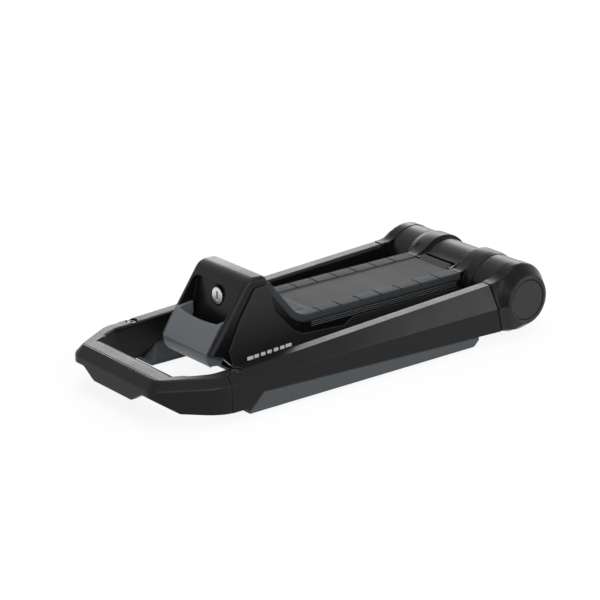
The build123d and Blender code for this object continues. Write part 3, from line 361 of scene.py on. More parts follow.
@dataclass(frozen=True)
class SoftRubber(Finish):
    """Moulded elastomer: a dry skin with a pebbled grain and a faint bloom in its hollows.

    Attributes:
        bloom: the colour of the bloom.
        pebble_mm: size of the grain's pebbles.
        pebble_depth_mm: their depth.
        specular: strength of the sheen, where 0.5 is the plain value.
        cloud_mm: size of the slow changes in bloom and roughness.
        dust_mm: size of the specks of bloom.
        sheen: strength of the dry sheen that shows at a flat angle.
        sheen_roughness: how widely it spreads.
        ior: the rubber's index of refraction.
    """

    uneven: tuple[float, float] = (-0.05, 0.07)
    bloom: str = "#5c6063"
    pebble_mm: float = 1.1
    pebble_depth_mm: float = 0.05
    specular: float = 0.4
    cloud_mm: float = 24.0
    dust_mm: float = 3.0
    sheen: float = 0.08
    sheen_roughness: float = 0.5
    ior: float = 1.52

    def dress(self, tree: Tree, place: Socket) -> Node:
        """Mix pebbles, bloom and slow unevenness into one rubber.

        Args:
            tree: the material's nodes.
            place: the coordinate that the patterns read.

        Returns:
            The shader.
        """
        pebble = add_node(tree, "ShaderNodeTexVoronoi",
                          {"feature": "SMOOTH_F1", "Scale": 1 / (self.pebble_mm * MM)}, {"Vector": place})
        cloud, dust = [
            add_node(tree, "ShaderNodeTexNoise", blobs(size, octaves), {"Vector": place}).outputs["Fac"]
            for size, octaves in ((self.cloud_mm, 3.0), (self.dust_mm, 5.0))]
        fields, specks, rough = [
            add_node(tree, "ShaderNodeMapRange", settings, {"Value": pattern}).outputs["Result"]
            for pattern, settings in ((cloud, span(0.0, 0.5)), (dust, span(0.4, 1.0)),
                                      (cloud, self.rough_span()))]
        bloomed = add_node(tree, "ShaderNodeMath", {"operation": "MULTIPLY"}, {0: fields, 1: specks})
        return self.surfaced(tree, pebble.outputs["Distance"], self.pebble_depth_mm,
                             {"IOR": self.ior, "Specular IOR Level": self.specular,
                              "Sheen Weight": self.sheen, "Sheen Roughness": self.sheen_roughness},
                             {"Base Color": self.tinted(tree, bloomed.outputs["Value"], self.bloom),
                              "Roughness": rough})


@dataclass(frozen=True)
class WorkedMetal(Finish):
    """Plated or bare metal, turned on a lathe or tumbled smooth.

    A turned face keeps fine rings round the tool's axis. A tumbled one has small soft dents.

    Attributes:
        facing: how the surface was worked.
        axis_z_mm: height of the tool's axis, which runs along X in the middle of the object.
        ring_mm: distance from one ring to the next.
        ring_depth_mm: depth of the rings.
        ring_wobble: how far they stray from true circles.
        stain: the colour of dull patches.
        patch_mm: size of those patches.
        dent_mm: size of the dents.
        dent_depth_mm: their depth.
    """

    uneven: tuple[float, float] = (-0.06, 0.1)
    facing: Facing = Facing.TUMBLED
    axis_z_mm: float = 0.0
    ring_mm: float = 0.2826
    ring_depth_mm: float = 0.003
    ring_wobble: float = 0.4
    stain: str = "#8d8f90"
    patch_mm: float = 5.0
    dent_mm: float = 1.4
    dent_depth_mm: float = 0.02

    def dress(self, tree: Tree, place: Socket) -> Node:
        """Mix tool marks, dull patches and small dents into one metal.

        Args:
            tree: the material's nodes.
            place: the coordinate that the patterns read.

        Returns:
            The shader.
        """
        patch = add_node(tree, "ShaderNodeTexNoise", blobs(self.patch_mm, 4.0), {"Vector": place})
        dull, rough = [
            add_node(tree, "ShaderNodeMapRange", settings, {"Value": patch.outputs["Fac"]}).outputs["Result"]
            for settings in (span(0.0, 0.6), self.rough_span())]
        if self.facing is Facing.TURNED:
            centred = add_node(tree, "ShaderNodeMapping", {"Location": (0.0, 0.0, -self.axis_z_mm * MM)},
                               {"Vector": place})
            settings = {"wave_type": "RINGS", "rings_direction": "X", "Distortion": self.ring_wobble,
                        "Scale": WAVE_PERIOD / (self.ring_mm * MM), "Detail": 1.0}
            marks = add_node(tree, "ShaderNodeTexWave", settings, {"Vector": centred.outputs["Vector"]})
            depth_mm = self.ring_depth_mm
        else:
            marks = add_node(tree, "ShaderNodeTexNoise", blobs(self.dent_mm, 3.0), {"Vector": place})
            depth_mm = self.dent_depth_mm
        return self.surfaced(tree, marks.outputs["Fac"], depth_mm, {"Metallic": 1.0},
                             {"Base Color": self.tinted(tree, dull, self.stain), "Roughness": rough})


@dataclass(frozen=True)
class SpeckledSkin(Finish):
    """A skin with fine specks of a second colour: pressed fibres in resin, or ink that thins out.

    Attributes:
        speck: the colour of the specks.
        speck_mm: their size.
        octaves: how many finer sizes there are among them.
        reach: how far the strongest speck takes its colour.
        pit_mm: depth of the pits that go with them.
        ior: the skin's index of refraction.
    """

    speck: str = "#8a7a5e"
    speck_mm: float = 0.8
    octaves: float = 6.0
    reach: float = 1.0
    pit_mm: float = 0.04
    ior: float = 1.5

    def dress(self, tree: Tree, place: Socket) -> Node:
        """Scatter the specks.

        Args:
            tree: the material's nodes.
            place: the coordinate that the patterns read.

        Returns:
            The shader.
        """
        specks = add_node(tree, "ShaderNodeTexNoise", blobs(self.speck_mm, self.octaves),
                          {"Vector": place}).outputs["Fac"]
        shown = add_node(tree, "ShaderNodeMapRange", span(0.0, self.reach), {"Value": specks})
        tinted = self.tinted(tree, shown.outputs["Result"], self.speck)
        return self.surfaced(tree, specks, self.pit_mm, {"IOR": self.ior, "Roughness": self.roughness},
                             {"Base Color": tinted})


# Glass-filled nylon, spark-eroded mould: near black, satin, picks up pale light on its upper faces
BLACK_NYLON = MouldedPlastic("glass_filled_nylon_black_satin", "#0f0f10", 0.3, "black_plastic",
                             specular=0.17)
# The same nylon in the leg covers and inner walls, from a smoother part of the mould
SMOOTH_NYLON = MouldedPlastic("glass_filled_nylon_black_smooth", "#0d0d0e", 0.3, "black_plastic",
                              grain_mm=1.4, grain_depth_mm=0.012, specular=0.16)
# The same nylon in the side panels, with a coarser spark finish, painted a little paler as painted light,
# with a painted highlight along its edges
PANEL_NYLON_PAINTED_LIGHT = MouldedPlastic("glass_filled_nylon_black_coarse", "#1d1d1e", 0.46, "black_plastic",
                             grain_mm=1.2, grain_depth_mm=0.03, specular=0.22, worn=1.0,
                             edge_colour="#6a6b6c")
# The knuckles: the same nylon, with the flat round the end cap painted paler as painted light
KNUCKLE_NYLON_PAINTED_FACE = MouldedPlastic("glass_filled_nylon_black_two_skins", "#0a0a0b", 0.28, "black_plastic",
                               marked=(("face", "#2b2b2c"),), specular=0.12)
# The tray's ribs: the same nylon, painted paler as painted light, with a painted highlight along their crests
RIB_NYLON_PAINTED_HIGHLIGHT = MouldedPlastic("glass_filled_nylon_black_rubbed", "#3a3b3c", 0.32, "black_plastic",
                              specular=0.4, edge_colour="#6a6b6d", worn=0.9)
# The end caps: the same nylon, painted a little paler and with a stronger sheen, as painted light
CAP_NYLON_PAINTED_LIGHT = MouldedPlastic("glass_filled_nylon_black_fine", "#232324", 0.34, "black_plastic",
                           specular=0.26)
# Dyed nylon of the lever: cool mid grey, satin
GREY_NYLON = MouldedPlastic("dyed_nylon_grey_satin", "#5b6166", 0.46, "grey_plastic",
                            edge_colour="#757b80", worn=0.4)
# Elastomer of the boat pads: cool dark grey, dry to the eye
BOAT_PAD_RUBBER = SoftRubber("elastomer_dark_grey_moulded", "#42474a", 0.62, "boat_pad_rubber",
                             bloom="#4b5053", specular=0.25)
# Elastomer of the top pad: mid grey with a pebbled grain, with painted shade on its upright sides, darker and
# bluer, and near black painted shade in its notches
TOP_PAD_RUBBER_PAINTED_SHADE = SoftRubber("elastomer_grey_pebbled", "#3a3b3d", 0.68, "base_pad_rubber",
                            marked=(("flank", "#30363a"), ("groove", "#08080a")), bloom="#434446",
                            specular=0.14)
# Rubber of the saddle: black, matt, dusty from the bar
SADDLE_RUBBER = SoftRubber("rubber_black_ribbed", "#1c1c1c", 0.7, "saddle_rubber", bloom="#343434")
# Zinc-plated steel, tumbled: cool bright grey with dull patches
ZINC_STEEL = WorkedMetal("steel_zinc_plated_tumbled", "#b9bbbd", 0.32, "steel")
# The legs' screws: steel painted dark, as painted shade for their recesses, so that only their rims catch the
# light
DARKENED_SCREW_STEEL = WorkedMetal("steel_black_oxide_tumbled", "#5b5c5d", 0.36, "steel", stain="#434445")
# Powder-coated sheet steel of the chassis: black with a fine orange-peel skin
COATED_STEEL = MouldedPlastic("steel_powder_coated_black", "#222324", 0.5, "steel", grain_mm=1.6,
                              grain_depth_mm=0.04)
# Nickel-plated brass of the lock, turned: bright with fine rings
TURNED_NICKEL = WorkedMetal("brass_nickel_plated_turned", "#dcdad6", 0.2, "lock_metal",
                            facing=Facing.TURNED, axis_z_mm=72.8, stain="#e2e0dc")
# Natural acetal of the bushes: ivory, waxy
ACETAL = MouldedPlastic("acetal_natural_turned", "#d8d4c8", 0.35, "bush_plastic", edge_colour="#e6e2d8")
# Friction lining, pressed from resin and short fibres: brown, dull, slightly pitted
LINING = SpeckledSkin("friction_fibre_pressed", "#3c332a", 0.85, "lining")
# Pad-printed marks: a thin film of off-white ink, slightly glossy
MARK_INK = SpeckledSkin("ink_white_pad_printed", "#fbfbfa", 0.5, "black_plastic", speck="#efefee",
                        speck_mm=1.2, octaves=4.0, reach=0.5, pit_mm=0.008, ior=1.48)

SLOT_FINISH = {finish.slot: finish for finish in (
    GREY_NYLON, BOAT_PAD_RUBBER, TOP_PAD_RUBBER_PAINTED_SHADE, SADDLE_RUBBER, ZINC_STEEL, TURNED_NICKEL, ACETAL,
    LINING, BLACK_NYLON)}


def eased(share: np.ndarray) -> np.ndarray:
    """Turn a straight rise t from 0 to 1 into one that starts and ends level, 3 t^2 - 2 t^3."""
    return share * share * (3 - 2 * share)


def soft_larger(first: np.ndarray, second: np.ndarray, width: float, sunk: float) -> np.ndarray:
    """Join two heights as the larger of both, with a soft fillet where they meet.

    For heights a and b it is 0.5 (a + b + sqrt((a - b)^2 + width)), less a constant.

    Args:
        first: one height.
        second: the other height.
        width: square of the fillet's width.
        sunk: the constant, which takes back some of what the fillet adds.

    Returns:
        The joined height.
    """
    return 0.5 * (first + second + np.sqrt((first - second) ** 2 + width)) - sunk


def skin_over(rings: np.ndarray) -> Shape:
    """Join rings of points into a surface.

    Args:
        rings: places in millimetres, by ring, by point on the ring and by axis.

    Returns:
        The points in metres, and four point numbers for each face between two rings.
    """
    rows, columns = rings.shape[:2]
    start, column = np.arange(rows - 1)[:, None] * columns, np.arange(columns)[None, :]
    after = (column + 1) % columns
    corners = [start + column, start + after, start + columns + after, start + columns + column]
    return rings.reshape(-1, 3) * MM, np.stack(corners, -1).reshape(-1, 4)


def joined(shapes: Iterable[Shape]) -> Shape:
    """Put several surfaces into one.

    Args:
        shapes: the surfaces, each with its own point numbers.

    Returns:
        All their points, and all their faces with the point numbers moved on.
    """
    points, faces = [], []
    for more_points, more_faces in shapes:
        faces.append(more_faces + sum(map(len, points)))
        points.append(more_points)
    return np.vstack(points), np.vstack(faces)


def make_piece(name: str, shape: Shape, finish: Finish, body: str) -> Piece:
    """Put a surface into a mesh, point its faces outwards and let it ride on a body.

    Args:
        name: the piece's name.
        shape: its points in metres, and the point numbers of each face.
        finish: the surface finish.
        body: the body that carries the piece.

    Returns:
        The finished object, standing at the origin.
    """
    points, faces = shape
    mesh = bpy.data.meshes.new(name)
    mesh.from_pydata(points.tolist(), [], [list(map(int, face)) for face in faces])
    solid = bmesh.new()
    solid.from_mesh(mesh)
    bmesh.ops.remove_doubles(solid, verts=solid.verts, dist=DOUBLE_MM * MM)
    bmesh.ops.recalc_face_normals(solid, faces=solid.faces)
    solid.to_mesh(mesh)
    solid.free()
    mesh.shade_smooth()
    mesh.set_sharp_from_angle(angle=math.radians(SMOOTH_DEG))
    piece = into_scene(name, mesh)
    mesh.materials.append(finish.material())
    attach(piece, body)
    return piece


def points_mm(mesh: bpy.types.Mesh) -> np.ndarray:
    """Read where a mesh's points are.

    Args:
        mesh: the mesh.

    Returns:
        One row each of X, Y and Z in millimetres.
    """
    places = np.empty(len(mesh.vertices) * 3)
    mesh.vertices.foreach_get("co", places)
    return places.reshape(-1, 3).T / MM


def keep_mark(mesh: bpy.types.Mesh, name: str, share: np.ndarray) -> None:
    """Keep a mark from 0 to 1 on a mesh's points, which a finish reads by its name."""
    mesh.attributes.new(name, "FLOAT", "POINT").data.foreach_set("value", share)


def rounded_loop(corners: np.ndarray, radius: float, count: int) -> np.ndarray:
    """Round the corners of a closed outline.

    The outline is sampled evenly along its length, and each point becomes the mean of its
    neighbours within the radius on either side, taken round the loop.

    Args:
        corners: one row of two coordinates for each corner, in order.
        radius: how far along the outline the rounding reaches.
        count: how many points the loop gets.

    Returns:
        One row of two coordinates for each point.
    """
    closed = np.vstack([corners, corners[:1]])
    along = np.concatenate([[0.0], np.cumsum(np.linalg.norm(np.diff(closed, axis=0), axis=1))])
    fine = count * LOOP_SAMPLES
    spots = np.arange(fine) / fine * along[-1]
    dense = np.stack([np.interp(spots, along, closed[:, k]) for k in (0, 1)], 1)
    window = max(1, int(round(radius / along[-1] * fine)))
    kernel = np.ones(2 * window + 1) / (2 * window + 1)
    padded = np.vstack([dense[-window:], dense, dense[:window]])
    soft = np.stack([np.convolve(padded[:, k], kernel, "valid") for k in (0, 1)], 1)
    return soft[::LOOP_SAMPLES]


@dataclass
class FinishedNode:
    """A rigid node of the frame with rounded edges and its surface finish.

    The node's mesh is copied and merged, its flat faces are joined, and a Bevel modifier rounds
    every edge that bends more than the limit.

    Attributes:
        node: the node's name.
        finish: the surface finish.
        edge_mm: width of the rounding on its edges.
        limit_deg: edges that bend less than this stay as they are.
        merge_mm: points closer than this become one.
        clamped: whether an edge with little room beside it gets a narrower rounding.
        segments: how many strips make up a rounding.
        flat_deg: faces that differ less than this are joined.
        turn_deg: a border that bends more than this has turned away from its edge.
        room_share: how much of the room beside an edge its rounding may take.
        least_share: a rounding narrower than this share of its width is left out.
        stray_share: how far a point may leave the plain surface, in widths of the rounding.
    """

    node: str
    finish: Finish
    edge_mm: float = 0.5
    limit_deg: float = 30.0
    merge_mm: float = 0.002
    clamped: bool = False
    segments: int = 3
    flat_deg: float = 0.4
    turn_deg: float = 35.0
    room_share: float = 0.45
    least_share: float = 0.3
    stray_share: float = 0.4

    def room(self, edge: bmesh.types.BMEdge) -> float:
        """Find how much room the two faces beside an edge leave for its rounding.

        Along each face's border, points that go on in the edge's own direction are passed over.
        The room is the least distance from the edge's line to the next point after the border
        has turned away.

        Args:
            edge: an edge between two faces.

        Returns:
            The room in metres.
        """
        least = 1.0
        for first in edge.link_loops:
            for forward in (True, False):
                loop, along = first, (first.link_loop_next.vert.co - first.vert.co).normalized()
                origin, heading = first.vert.co, along
                for _ in range(len(first.face.verts) - 2):
                    loop = loop.link_loop_next if forward else loop.link_loop_prev
                    step = loop.link_loop_next.vert.co - loop.vert.co
                    end = loop.link_loop_next.vert.co if forward else loop.vert.co
                    turned = heading.angle(step, 0.0)
                    heading = step
                    if turned > math.radians(self.turn_deg):
                        away = end - origin
                        least = min(least, (away - along * away.dot(along)).length)
                        break
        return least

    def plain_mesh(self, source: Piece) -> bpy.types.Mesh:
        """Copy the node's mesh, and give each edge the share of the rounding that it gets.

        Args:
            source: the node's own object, which stays as it is.

        Returns:
            The copy, with its finish.
        """
        solid = bmesh.new()
        solid.from_mesh(source.data)
        bmesh.ops.remove_doubles(solid, verts=solid.verts, dist=self.merge_mm * MM)
        bmesh.ops.dissolve_degenerate(solid, edges=solid.edges, dist=self.merge_mm * MM)
        bmesh.ops.dissolve_limit(solid, angle_limit=math.radians(self.flat_deg), verts=solid.verts,
                                 edges=solid.edges)
        weight = solid.edges.layers.float.new("bevel_weight_edge")
        for edge in solid.edges:
            if edge.calc_face_angle(0.0) > math.radians(self.limit_deg):
                share = self.room_share * self.room(edge) / (self.edge_mm * MM) if self.clamped else 1.0
                edge[weight] = min(1.0, share) if share > self.least_share else 0.0
        mesh = bpy.data.meshes.new(self.node + "_finished")
        solid.to_mesh(mesh)
        solid.free()
        for name in ("custom_normal", "sharp_edge"):
            if name in mesh.attributes:
                mesh.attributes.remove(mesh.attributes[name])
        mesh.materials.clear()
        mesh.materials.append(self.finish.material())
        mesh.shade_smooth()
        mesh.set_sharp_from_angle(angle=math.radians(self.limit_deg))
        return mesh

    def settle(self, piece: Piece) -> None:
        """Bake the rounding, and set back the few points that it carried off the plain surface.

        Args:
            piece: the copy with its Bevel modifier.
        """
        plain = bmesh.new()
        plain.from_mesh(piece.data)
        surface = BVHTree.FromBMesh(plain)
        plain.free()
        rounded = piece.evaluated_get(bpy.context.evaluated_depsgraph_get())
        baked = bpy.data.meshes.new_from_object(rounded)
        baked.name = piece.data.name
        for point in baked.vertices:
            place, _, _, away = surface.find_nearest(point.co)
            if away > self.stray_share * self.edge_mm * MM:
                point.co = place
        piece.modifiers.clear()
        piece.data = baked
        weighted = piece.modifiers.new("normals", "WEIGHTED_NORMAL")
        weighted.weight = 100
        weighted.keep_sharp = True

    def build(self) -> Piece:
        """Make the rounded copy and let it stand for the node.

        Returns:
            The copy.
        """
        source = frame["nodes"][self.node]
        piece = into_scene(self.node + "_finished", self.plain_mesh(source))
        bevel = piece.modifiers.new("edges", "BEVEL")
        bevel.width = self.edge_mm * MM
        bevel.segments = self.segments
        bevel.limit_method = "WEIGHT"
        bevel.use_clamp_overlap = False
        bevel.miter_outer = "MITER_SHARP"
        bevel.harden_normals = not self.clamped
        if self.clamped:
            self.settle(piece)
        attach(piece, source["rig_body"])
        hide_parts(self.node)
        return piece


class SubAssembly:
    """A group of pieces that belong together on the bench."""

    def build(self) -> list[Piece]:
        """Make the group's pieces and return them."""
        raise NotImplementedError


@dataclass
class SwingingArm(SubAssembly):
    """Both legs and the handle, the caps of the knuckles, the legs' floors and their screws."""

    frame_edge_mm: float = 0.7
    cover_edge_mm: float = 1.0
    cap_edge_mm: float = 0.6
    screw_edge_mm: float = 0.25
    carrier_edge_mm: float = 0.4
    facet_deg: float = 14.0
    facet_merge_mm: float = 0.05

    def build(self) -> list[Piece]:
        """Round and finish the arm's mouldings and its two screws.

        Returns:
            The finished pieces.
        """
        nodes = [FinishedNode(node, BLACK_NYLON, edge_mm, self.facet_deg, self.facet_merge_mm, clamped=True)
                 for node, edge_mm in (("arm_frame", self.frame_edge_mm),
                                       ("handle_cover", self.cover_edge_mm))]
        nodes.append(FinishedNode("leg_screws", DARKENED_SCREW_STEEL, self.screw_edge_mm))
        for side in Side:
            nodes.append(FinishedNode(f"end_cap_{side.word}", CAP_NYLON_PAINTED_LIGHT, self.cap_edge_mm))
            nodes.append(FinishedNode(f"pad_carrier_{side.word}", SMOOTH_NYLON, self.carrier_edge_mm))
        return [node.build() for node in nodes]


@dataclass
class Knuckles(SubAssembly):
    """The two round ends of the arm, where each leg's flat flows into the disc round the end cap.

    All sizes are in millimetres. Radii and angles are taken about the hinge axis, and heights
    along it are taken from the object's middle.

    Attributes:
        seam_x_mm: place of the seam with the leg at the crown's height.
        seam_lean: how far the seam moves back for each millimetre down.
        ridge_mm: height at which the leg's upright flat becomes its shoulder.
        round_mm: radius of the round end.
        edge_mm: how far out the round end's edge stands.
        face_mm: how far out the disc stands.
        neck_rise: slope at which the neck's top leaves the seam.
        fade_mm: place from which the leg's form sinks away, by fade_slope.
        rise_mm: length over which the flat rises from the leg to the disc.
        border: upper border of the flat, as X and Z.
        foot: lower border of the flat, as X and Z.
        border_soft_mm: width over which the flat falls away at its upper border.
        foot_soft_mm: the same at its lower border.
        fall_mm: how far it falls over such a width.
        fall_most: the most that it falls, in times of fall_mm.
        flat_blend: width and loss of the fillet between the flat and the other forms.
        blend_mm: width of the fillet between the cone and the leg.
        blend_sunk: share of that width which the fillet loses again in height.
        bead_mm: width of the low bead on the disc's rim.
        skin_mm: width over which the painted light of the flat begins.
        skin_past_mm: how far past the disc it reaches.
        wall_shares: where rings lie on the way from the inner face to the outline's edge.
        cone_rings: how many rings lie between the outline and the disc.
        rim_rings: how many lie between the disc's border and the pocket.
    """

    axis_x_mm: float = 171.0
    axis_z_mm: float = 33.5
    seam_x_mm: float = 135.6
    seam_lean: float = 0.23
    floor_mm: float = 9.5
    crown_mm: float = 52.5
    ridge_mm: float = 31.0
    inner_mm: float = 64.9
    inner_round_mm: float = 0.4
    leg_face_mm: float = 82.3
    shoulder_mm: float = 6.5
    round_mm: float = 30.0
    round_top_deg: float = 129.0
    round_low_deg: float = 243.0
    edge_mm: float = 75.7
    edge_round_mm: float = 1.2
    face_mm: float = 86.9
    face_radius_mm: float = 22.0
    rim_mm: float = 19.6
    rim_rise_mm: float = 0.6
    bead_mm: float = 0.9
    pocket_mm: float = 17.75
    pocket_depth_mm: float = 12.0
    pocket_round_mm: float = 0.3
    blend_mm: float = 3.6
    blend_sunk: float = 0.25
    neck_rise: float = 0.05
    fade_mm: float = 155.0
    fade_slope: float = 1.4
    rise_mm: float = 10.0
    border: Table = ((140.1, 30.6), (145.0, 31.2), (149.9, 33.5), (154.0, 37.0), (158.4, 43.8))
    foot: Table = ((145.0, 9.5), (157.0, 8.6), (171.0, 11.5))
    border_soft_mm: float = 1.6
    foot_soft_mm: float = 1.8
    fall_mm: float = 3.2
    fall_most: float = 4.0
    flat_blend: tuple[float, float] = (0.8, 0.1)
    skin_mm: float = 0.5
    skin_past_mm: float = 0.4
    around: int = 288
    wall_shares: tuple[float, ...] = (0.3, 0.6, 0.85, 1.0)
    cone_rings: int = 33
    rim_rings: int = 10

    def seam(self, z: np.ndarray | float) -> np.ndarray | float:
        """Place along X of the leaning seam with the leg at a height."""
        return self.seam_x_mm + self.seam_lean * (self.crown_mm - z)

    def on_seam(self, height: float) -> tuple[float, float]:
        """Point of the seam at a height, seen from the axis."""
        return float(self.seam(height)) - self.axis_x_mm, height - self.axis_z_mm

    def on_round(self, turn_deg: float) -> tuple[float, float]:
        """Point of the round end at an angle, seen from the axis."""
        turn = math.radians(turn_deg)
        return self.round_mm * math.cos(turn), self.round_mm * math.sin(turn)

    def neck_curve(self, start: np.ndarray, end: np.ndarray, count: int = 12) -> np.ndarray:
        """Draw the neck's top as a cubic curve, nearly level at the seam, tangent to the round end.

        With t from 0 to 1 it is (2t^3 - 3t^2 + 1) start + (t^3 - 2t^2 + t) leave
        + (3t^2 - 2t^3) end + (t^3 - t^2) arrive.

        Args:
            start: the seam's top, seen from the axis.
            end: the tangent point on the round end.
            count: how many points the curve gets.

        Returns:
            One row of two coordinates for each point.
        """
        length = np.linalg.norm(end - start)
        leave = np.array([1.0, self.neck_rise]) * length
        arrive = np.array([end[1], -end[0]]) / self.round_mm * length
        t = np.linspace(0, 1, count)[:, None]
        return ((2 * t ** 3 - 3 * t ** 2 + 1) * start + (t ** 3 - 2 * t ** 2 + t) * leave
                + (3 * t ** 2 - 2 * t ** 3) * end + (t ** 3 - t ** 2) * arrive)

    def outline(self, angle: np.ndarray) -> np.ndarray:
        """Distance from the axis to the side outline, along rays at given angles.

        The outline is the larger of the round end and the neck. The neck is a polygon from the
        seam with the leg to the tangent points on the round end, and each ray is cut with it.

        Args:
            angle: the angles of the rays in radians.

        Returns:
            The distances in millimetres.
        """
        bend = self.neck_curve(np.array(self.on_seam(self.crown_mm)),
                               np.array(self.on_round(self.round_top_deg)))
        corners = np.vstack([bend[::-1], self.on_seam(self.floor_mm), self.on_round(self.round_low_deg)])
        ray = np.stack([np.cos(angle), np.sin(angle)], -1)
        reach = np.full(len(angle), self.round_mm)
        for first, second in zip(corners[:-1], corners[1:]):
            edge = second - first
            across = ray[:, 0] * edge[1] - ray[:, 1] * edge[0]
            with np.errstate(divide="ignore", invalid="ignore"):
                length = (first[0] * edge[1] - first[1] * edge[0]) / across
                share = (first[0] * ray[:, 1] - first[1] * ray[:, 0]) / across
            hit = (length > 0) & (share >= -1e-9) & (share <= 1 + 1e-9)
            reach = np.where(hit, np.maximum(reach, length), reach)
        return reach

    def forms(self, x: np.ndarray, z: np.ndarray) -> tuple[np.ndarray, np.ndarray, np.ndarray]:
        """How far out each of three forms stands at a place in the knuckle's side view.

        They are a cone from the round end's edge to the disc, the leg's section (upright flat
        below the ridge, shoulder above it), and a flat that rises from the leg's face to the
        disc and falls away at its two borders.

        Args:
            x: places along X in millimetres.
            z: their heights.

        Returns:
            The cone, the leg and the flat, in millimetres.
        """
        radius = np.hypot(x - self.axis_x_mm, z - self.axis_z_mm)
        share = ((self.round_mm - radius) / (self.round_mm - self.face_radius_mm)).clip(0, 1)
        cone = self.edge_mm + (self.face_mm - self.edge_mm) * share
        over = ((z - self.ridge_mm) / (self.crown_mm - self.ridge_mm)).clip(0, None)
        leg = self.leg_face_mm - self.shoulder_mm * over
        leg = leg - self.fade_slope * (x - self.fade_mm).clip(0)
        rise = eased(((x - self.seam(z)) / self.rise_mm).clip(0, 1))
        bound, low = [np.interp(x, *zip(*table)) for table in (self.border, self.foot)]
        inside = np.minimum((bound - z) / self.border_soft_mm, (z - low) / self.foot_soft_mm)
        flat = self.leg_face_mm + (self.face_mm - self.leg_face_mm) * rise
        fall = self.fall_mm * (1 - inside.clip(1 - self.fall_most, 1))
        flat = np.where(x < self.axis_x_mm, flat - fall, 0.0)
        return cone, leg, flat

    def relief(self, x: np.ndarray, z: np.ndarray) -> np.ndarray:
        """How far out the knuckle's outer surface stands at a place in its side view.

        The three forms are joined in turn as the larger of two with a soft fillet, and cut off
        at the disc's height.

        Args:
            x: places along X in millimetres.
            z: their heights.

        Returns:
            Places along Y in millimetres.
        """
        cone, leg, flat = self.forms(x, z)
        body = soft_larger(cone, leg, self.blend_mm ** 2, self.blend_sunk * self.blend_mm)
        return np.minimum(soft_larger(body, flat, *self.flat_blend), self.face_mm)

    def surface(self, side: Side) -> Shape:
        """Spin rings about the hinge axis, from the inner face over the outline to the cap's pocket.

        Rings outside the disc lie at shares of the way from the disc to the outline. The rim of
        the disc is a low round bead, and the pocket behind it holds the end cap.

        Args:
            side: which knuckle.

        Returns:
            Its points and faces.
        """
        angle = np.linspace(0, 2 * np.pi, self.around, endpoint=False)
        reach = self.outline(angle)
        rings = []

        def spot(radius: np.ndarray) -> tuple[np.ndarray, np.ndarray]:
            """Place in the side view at a radius along each ray."""
            return self.axis_x_mm + radius * np.cos(angle), self.axis_z_mm + radius * np.sin(angle)

        def ring(radius: np.ndarray | float, height: np.ndarray | float | None = None) -> None:
            """Add a ring of points.

            Args:
                radius: its distance from the axis along each ray.
                height: its place along the axis, or None where it lies on the relief.
            """
            x, z = spot(np.broadcast_to(radius, angle.shape))
            y = self.relief(x, z) if height is None else np.broadcast_to(height, angle.shape)
            rings.append(np.stack([x, y, z], -1))

        ring(0.0, self.inner_mm)
        ring(reach - self.inner_round_mm, self.inner_mm)
        wall = self.inner_mm + self.inner_round_mm
        ring(reach, wall)
        border = self.relief(*spot(reach))
        for share in self.wall_shares:
            ring(reach, wall + share * (border - self.edge_round_mm - self.inner_mm - self.inner_round_mm))
        for turn in np.linspace(0, QUARTER, ARC_LINES)[1:]:
            drawn = reach - self.edge_round_mm * (1 - np.cos(turn))
            ring(drawn, self.relief(*spot(drawn)) - self.edge_round_mm * (1 - np.sin(turn)))
        start = reach - self.edge_round_mm
        for share in np.linspace(0, 1, self.cone_rings + 1)[1:]:
            ring(start + (self.face_radius_mm - start) * share)
        rim_end = self.pocket_mm + self.pocket_round_mm
        for radius in np.linspace(self.face_radius_mm, rim_end, self.rim_rings + 1)[1:]:
            ring(radius)
            rings[-1][:, 1] += self.rim_rise_mm * math.exp(-((radius - self.rim_mm) / self.bead_mm) ** 2)
        ring(self.pocket_mm, self.face_mm - self.pocket_round_mm)
        ring(self.pocket_mm, self.face_mm - self.pocket_depth_mm)
        ring(0.0, self.face_mm - self.pocket_depth_mm)
        points = np.stack(rings)
        points[..., 1] *= side.value
        return skin_over(points)

    def mark_face(self, mesh: bpy.types.Mesh) -> None:
        """Mark the disc and the flat that leads to it, which are painted paler as painted light.

        Args:
            mesh: the knuckle's mesh.
        """
        x, _, z = points_mm(mesh)
        cone, leg, flat = self.forms(x, z)
        on_flat = ((flat - np.maximum(cone, leg)) / self.skin_mm + 0.5).clip(0, 1)
        radius = np.hypot(x - self.axis_x_mm, z - self.axis_z_mm)
        on_disc = ((self.face_radius_mm + self.skin_past_mm - radius) / self.skin_mm).clip(0, 1)
        # Painted light: the flat and the disc take a paler colour
        keep_mark(mesh, "face", np.maximum(on_flat, on_disc))

    def build(self) -> list[Piece]:
        """Make both knuckles and let them stand for their nodes.

        Returns:
            The two knuckles.
        """
        made = []
        for side in Side:
            piece = make_piece(f"knuckle_{side.word}_flowing", self.surface(side), KNUCKLE_NYLON_PAINTED_FACE, "arm")
            self.mark_face(piece.data)
            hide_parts(f"knuckle_{side.word}")
            made.append(piece)
        return made


@dataclass
class Hinge(SubAssembly):
    """The housing with its barrel and collars, and the two sleeves beside it."""

    housing_edge_mm: float = 0.6
    sleeve_edge_mm: float = 0.5

    def build(self) -> list[Piece]:
        """Round and finish the housing and the sleeves.

        Returns:
            The finished pieces.
        """
        nodes = [FinishedNode("hinge_housing", BLACK_NYLON, self.housing_edge_mm)]
        nodes += [FinishedNode(f"hinge_sleeve_{side.word}", BLACK_NYLON, self.sleeve_edge_mm)
                  for side in Side]
        return [node.build() for node in nodes]


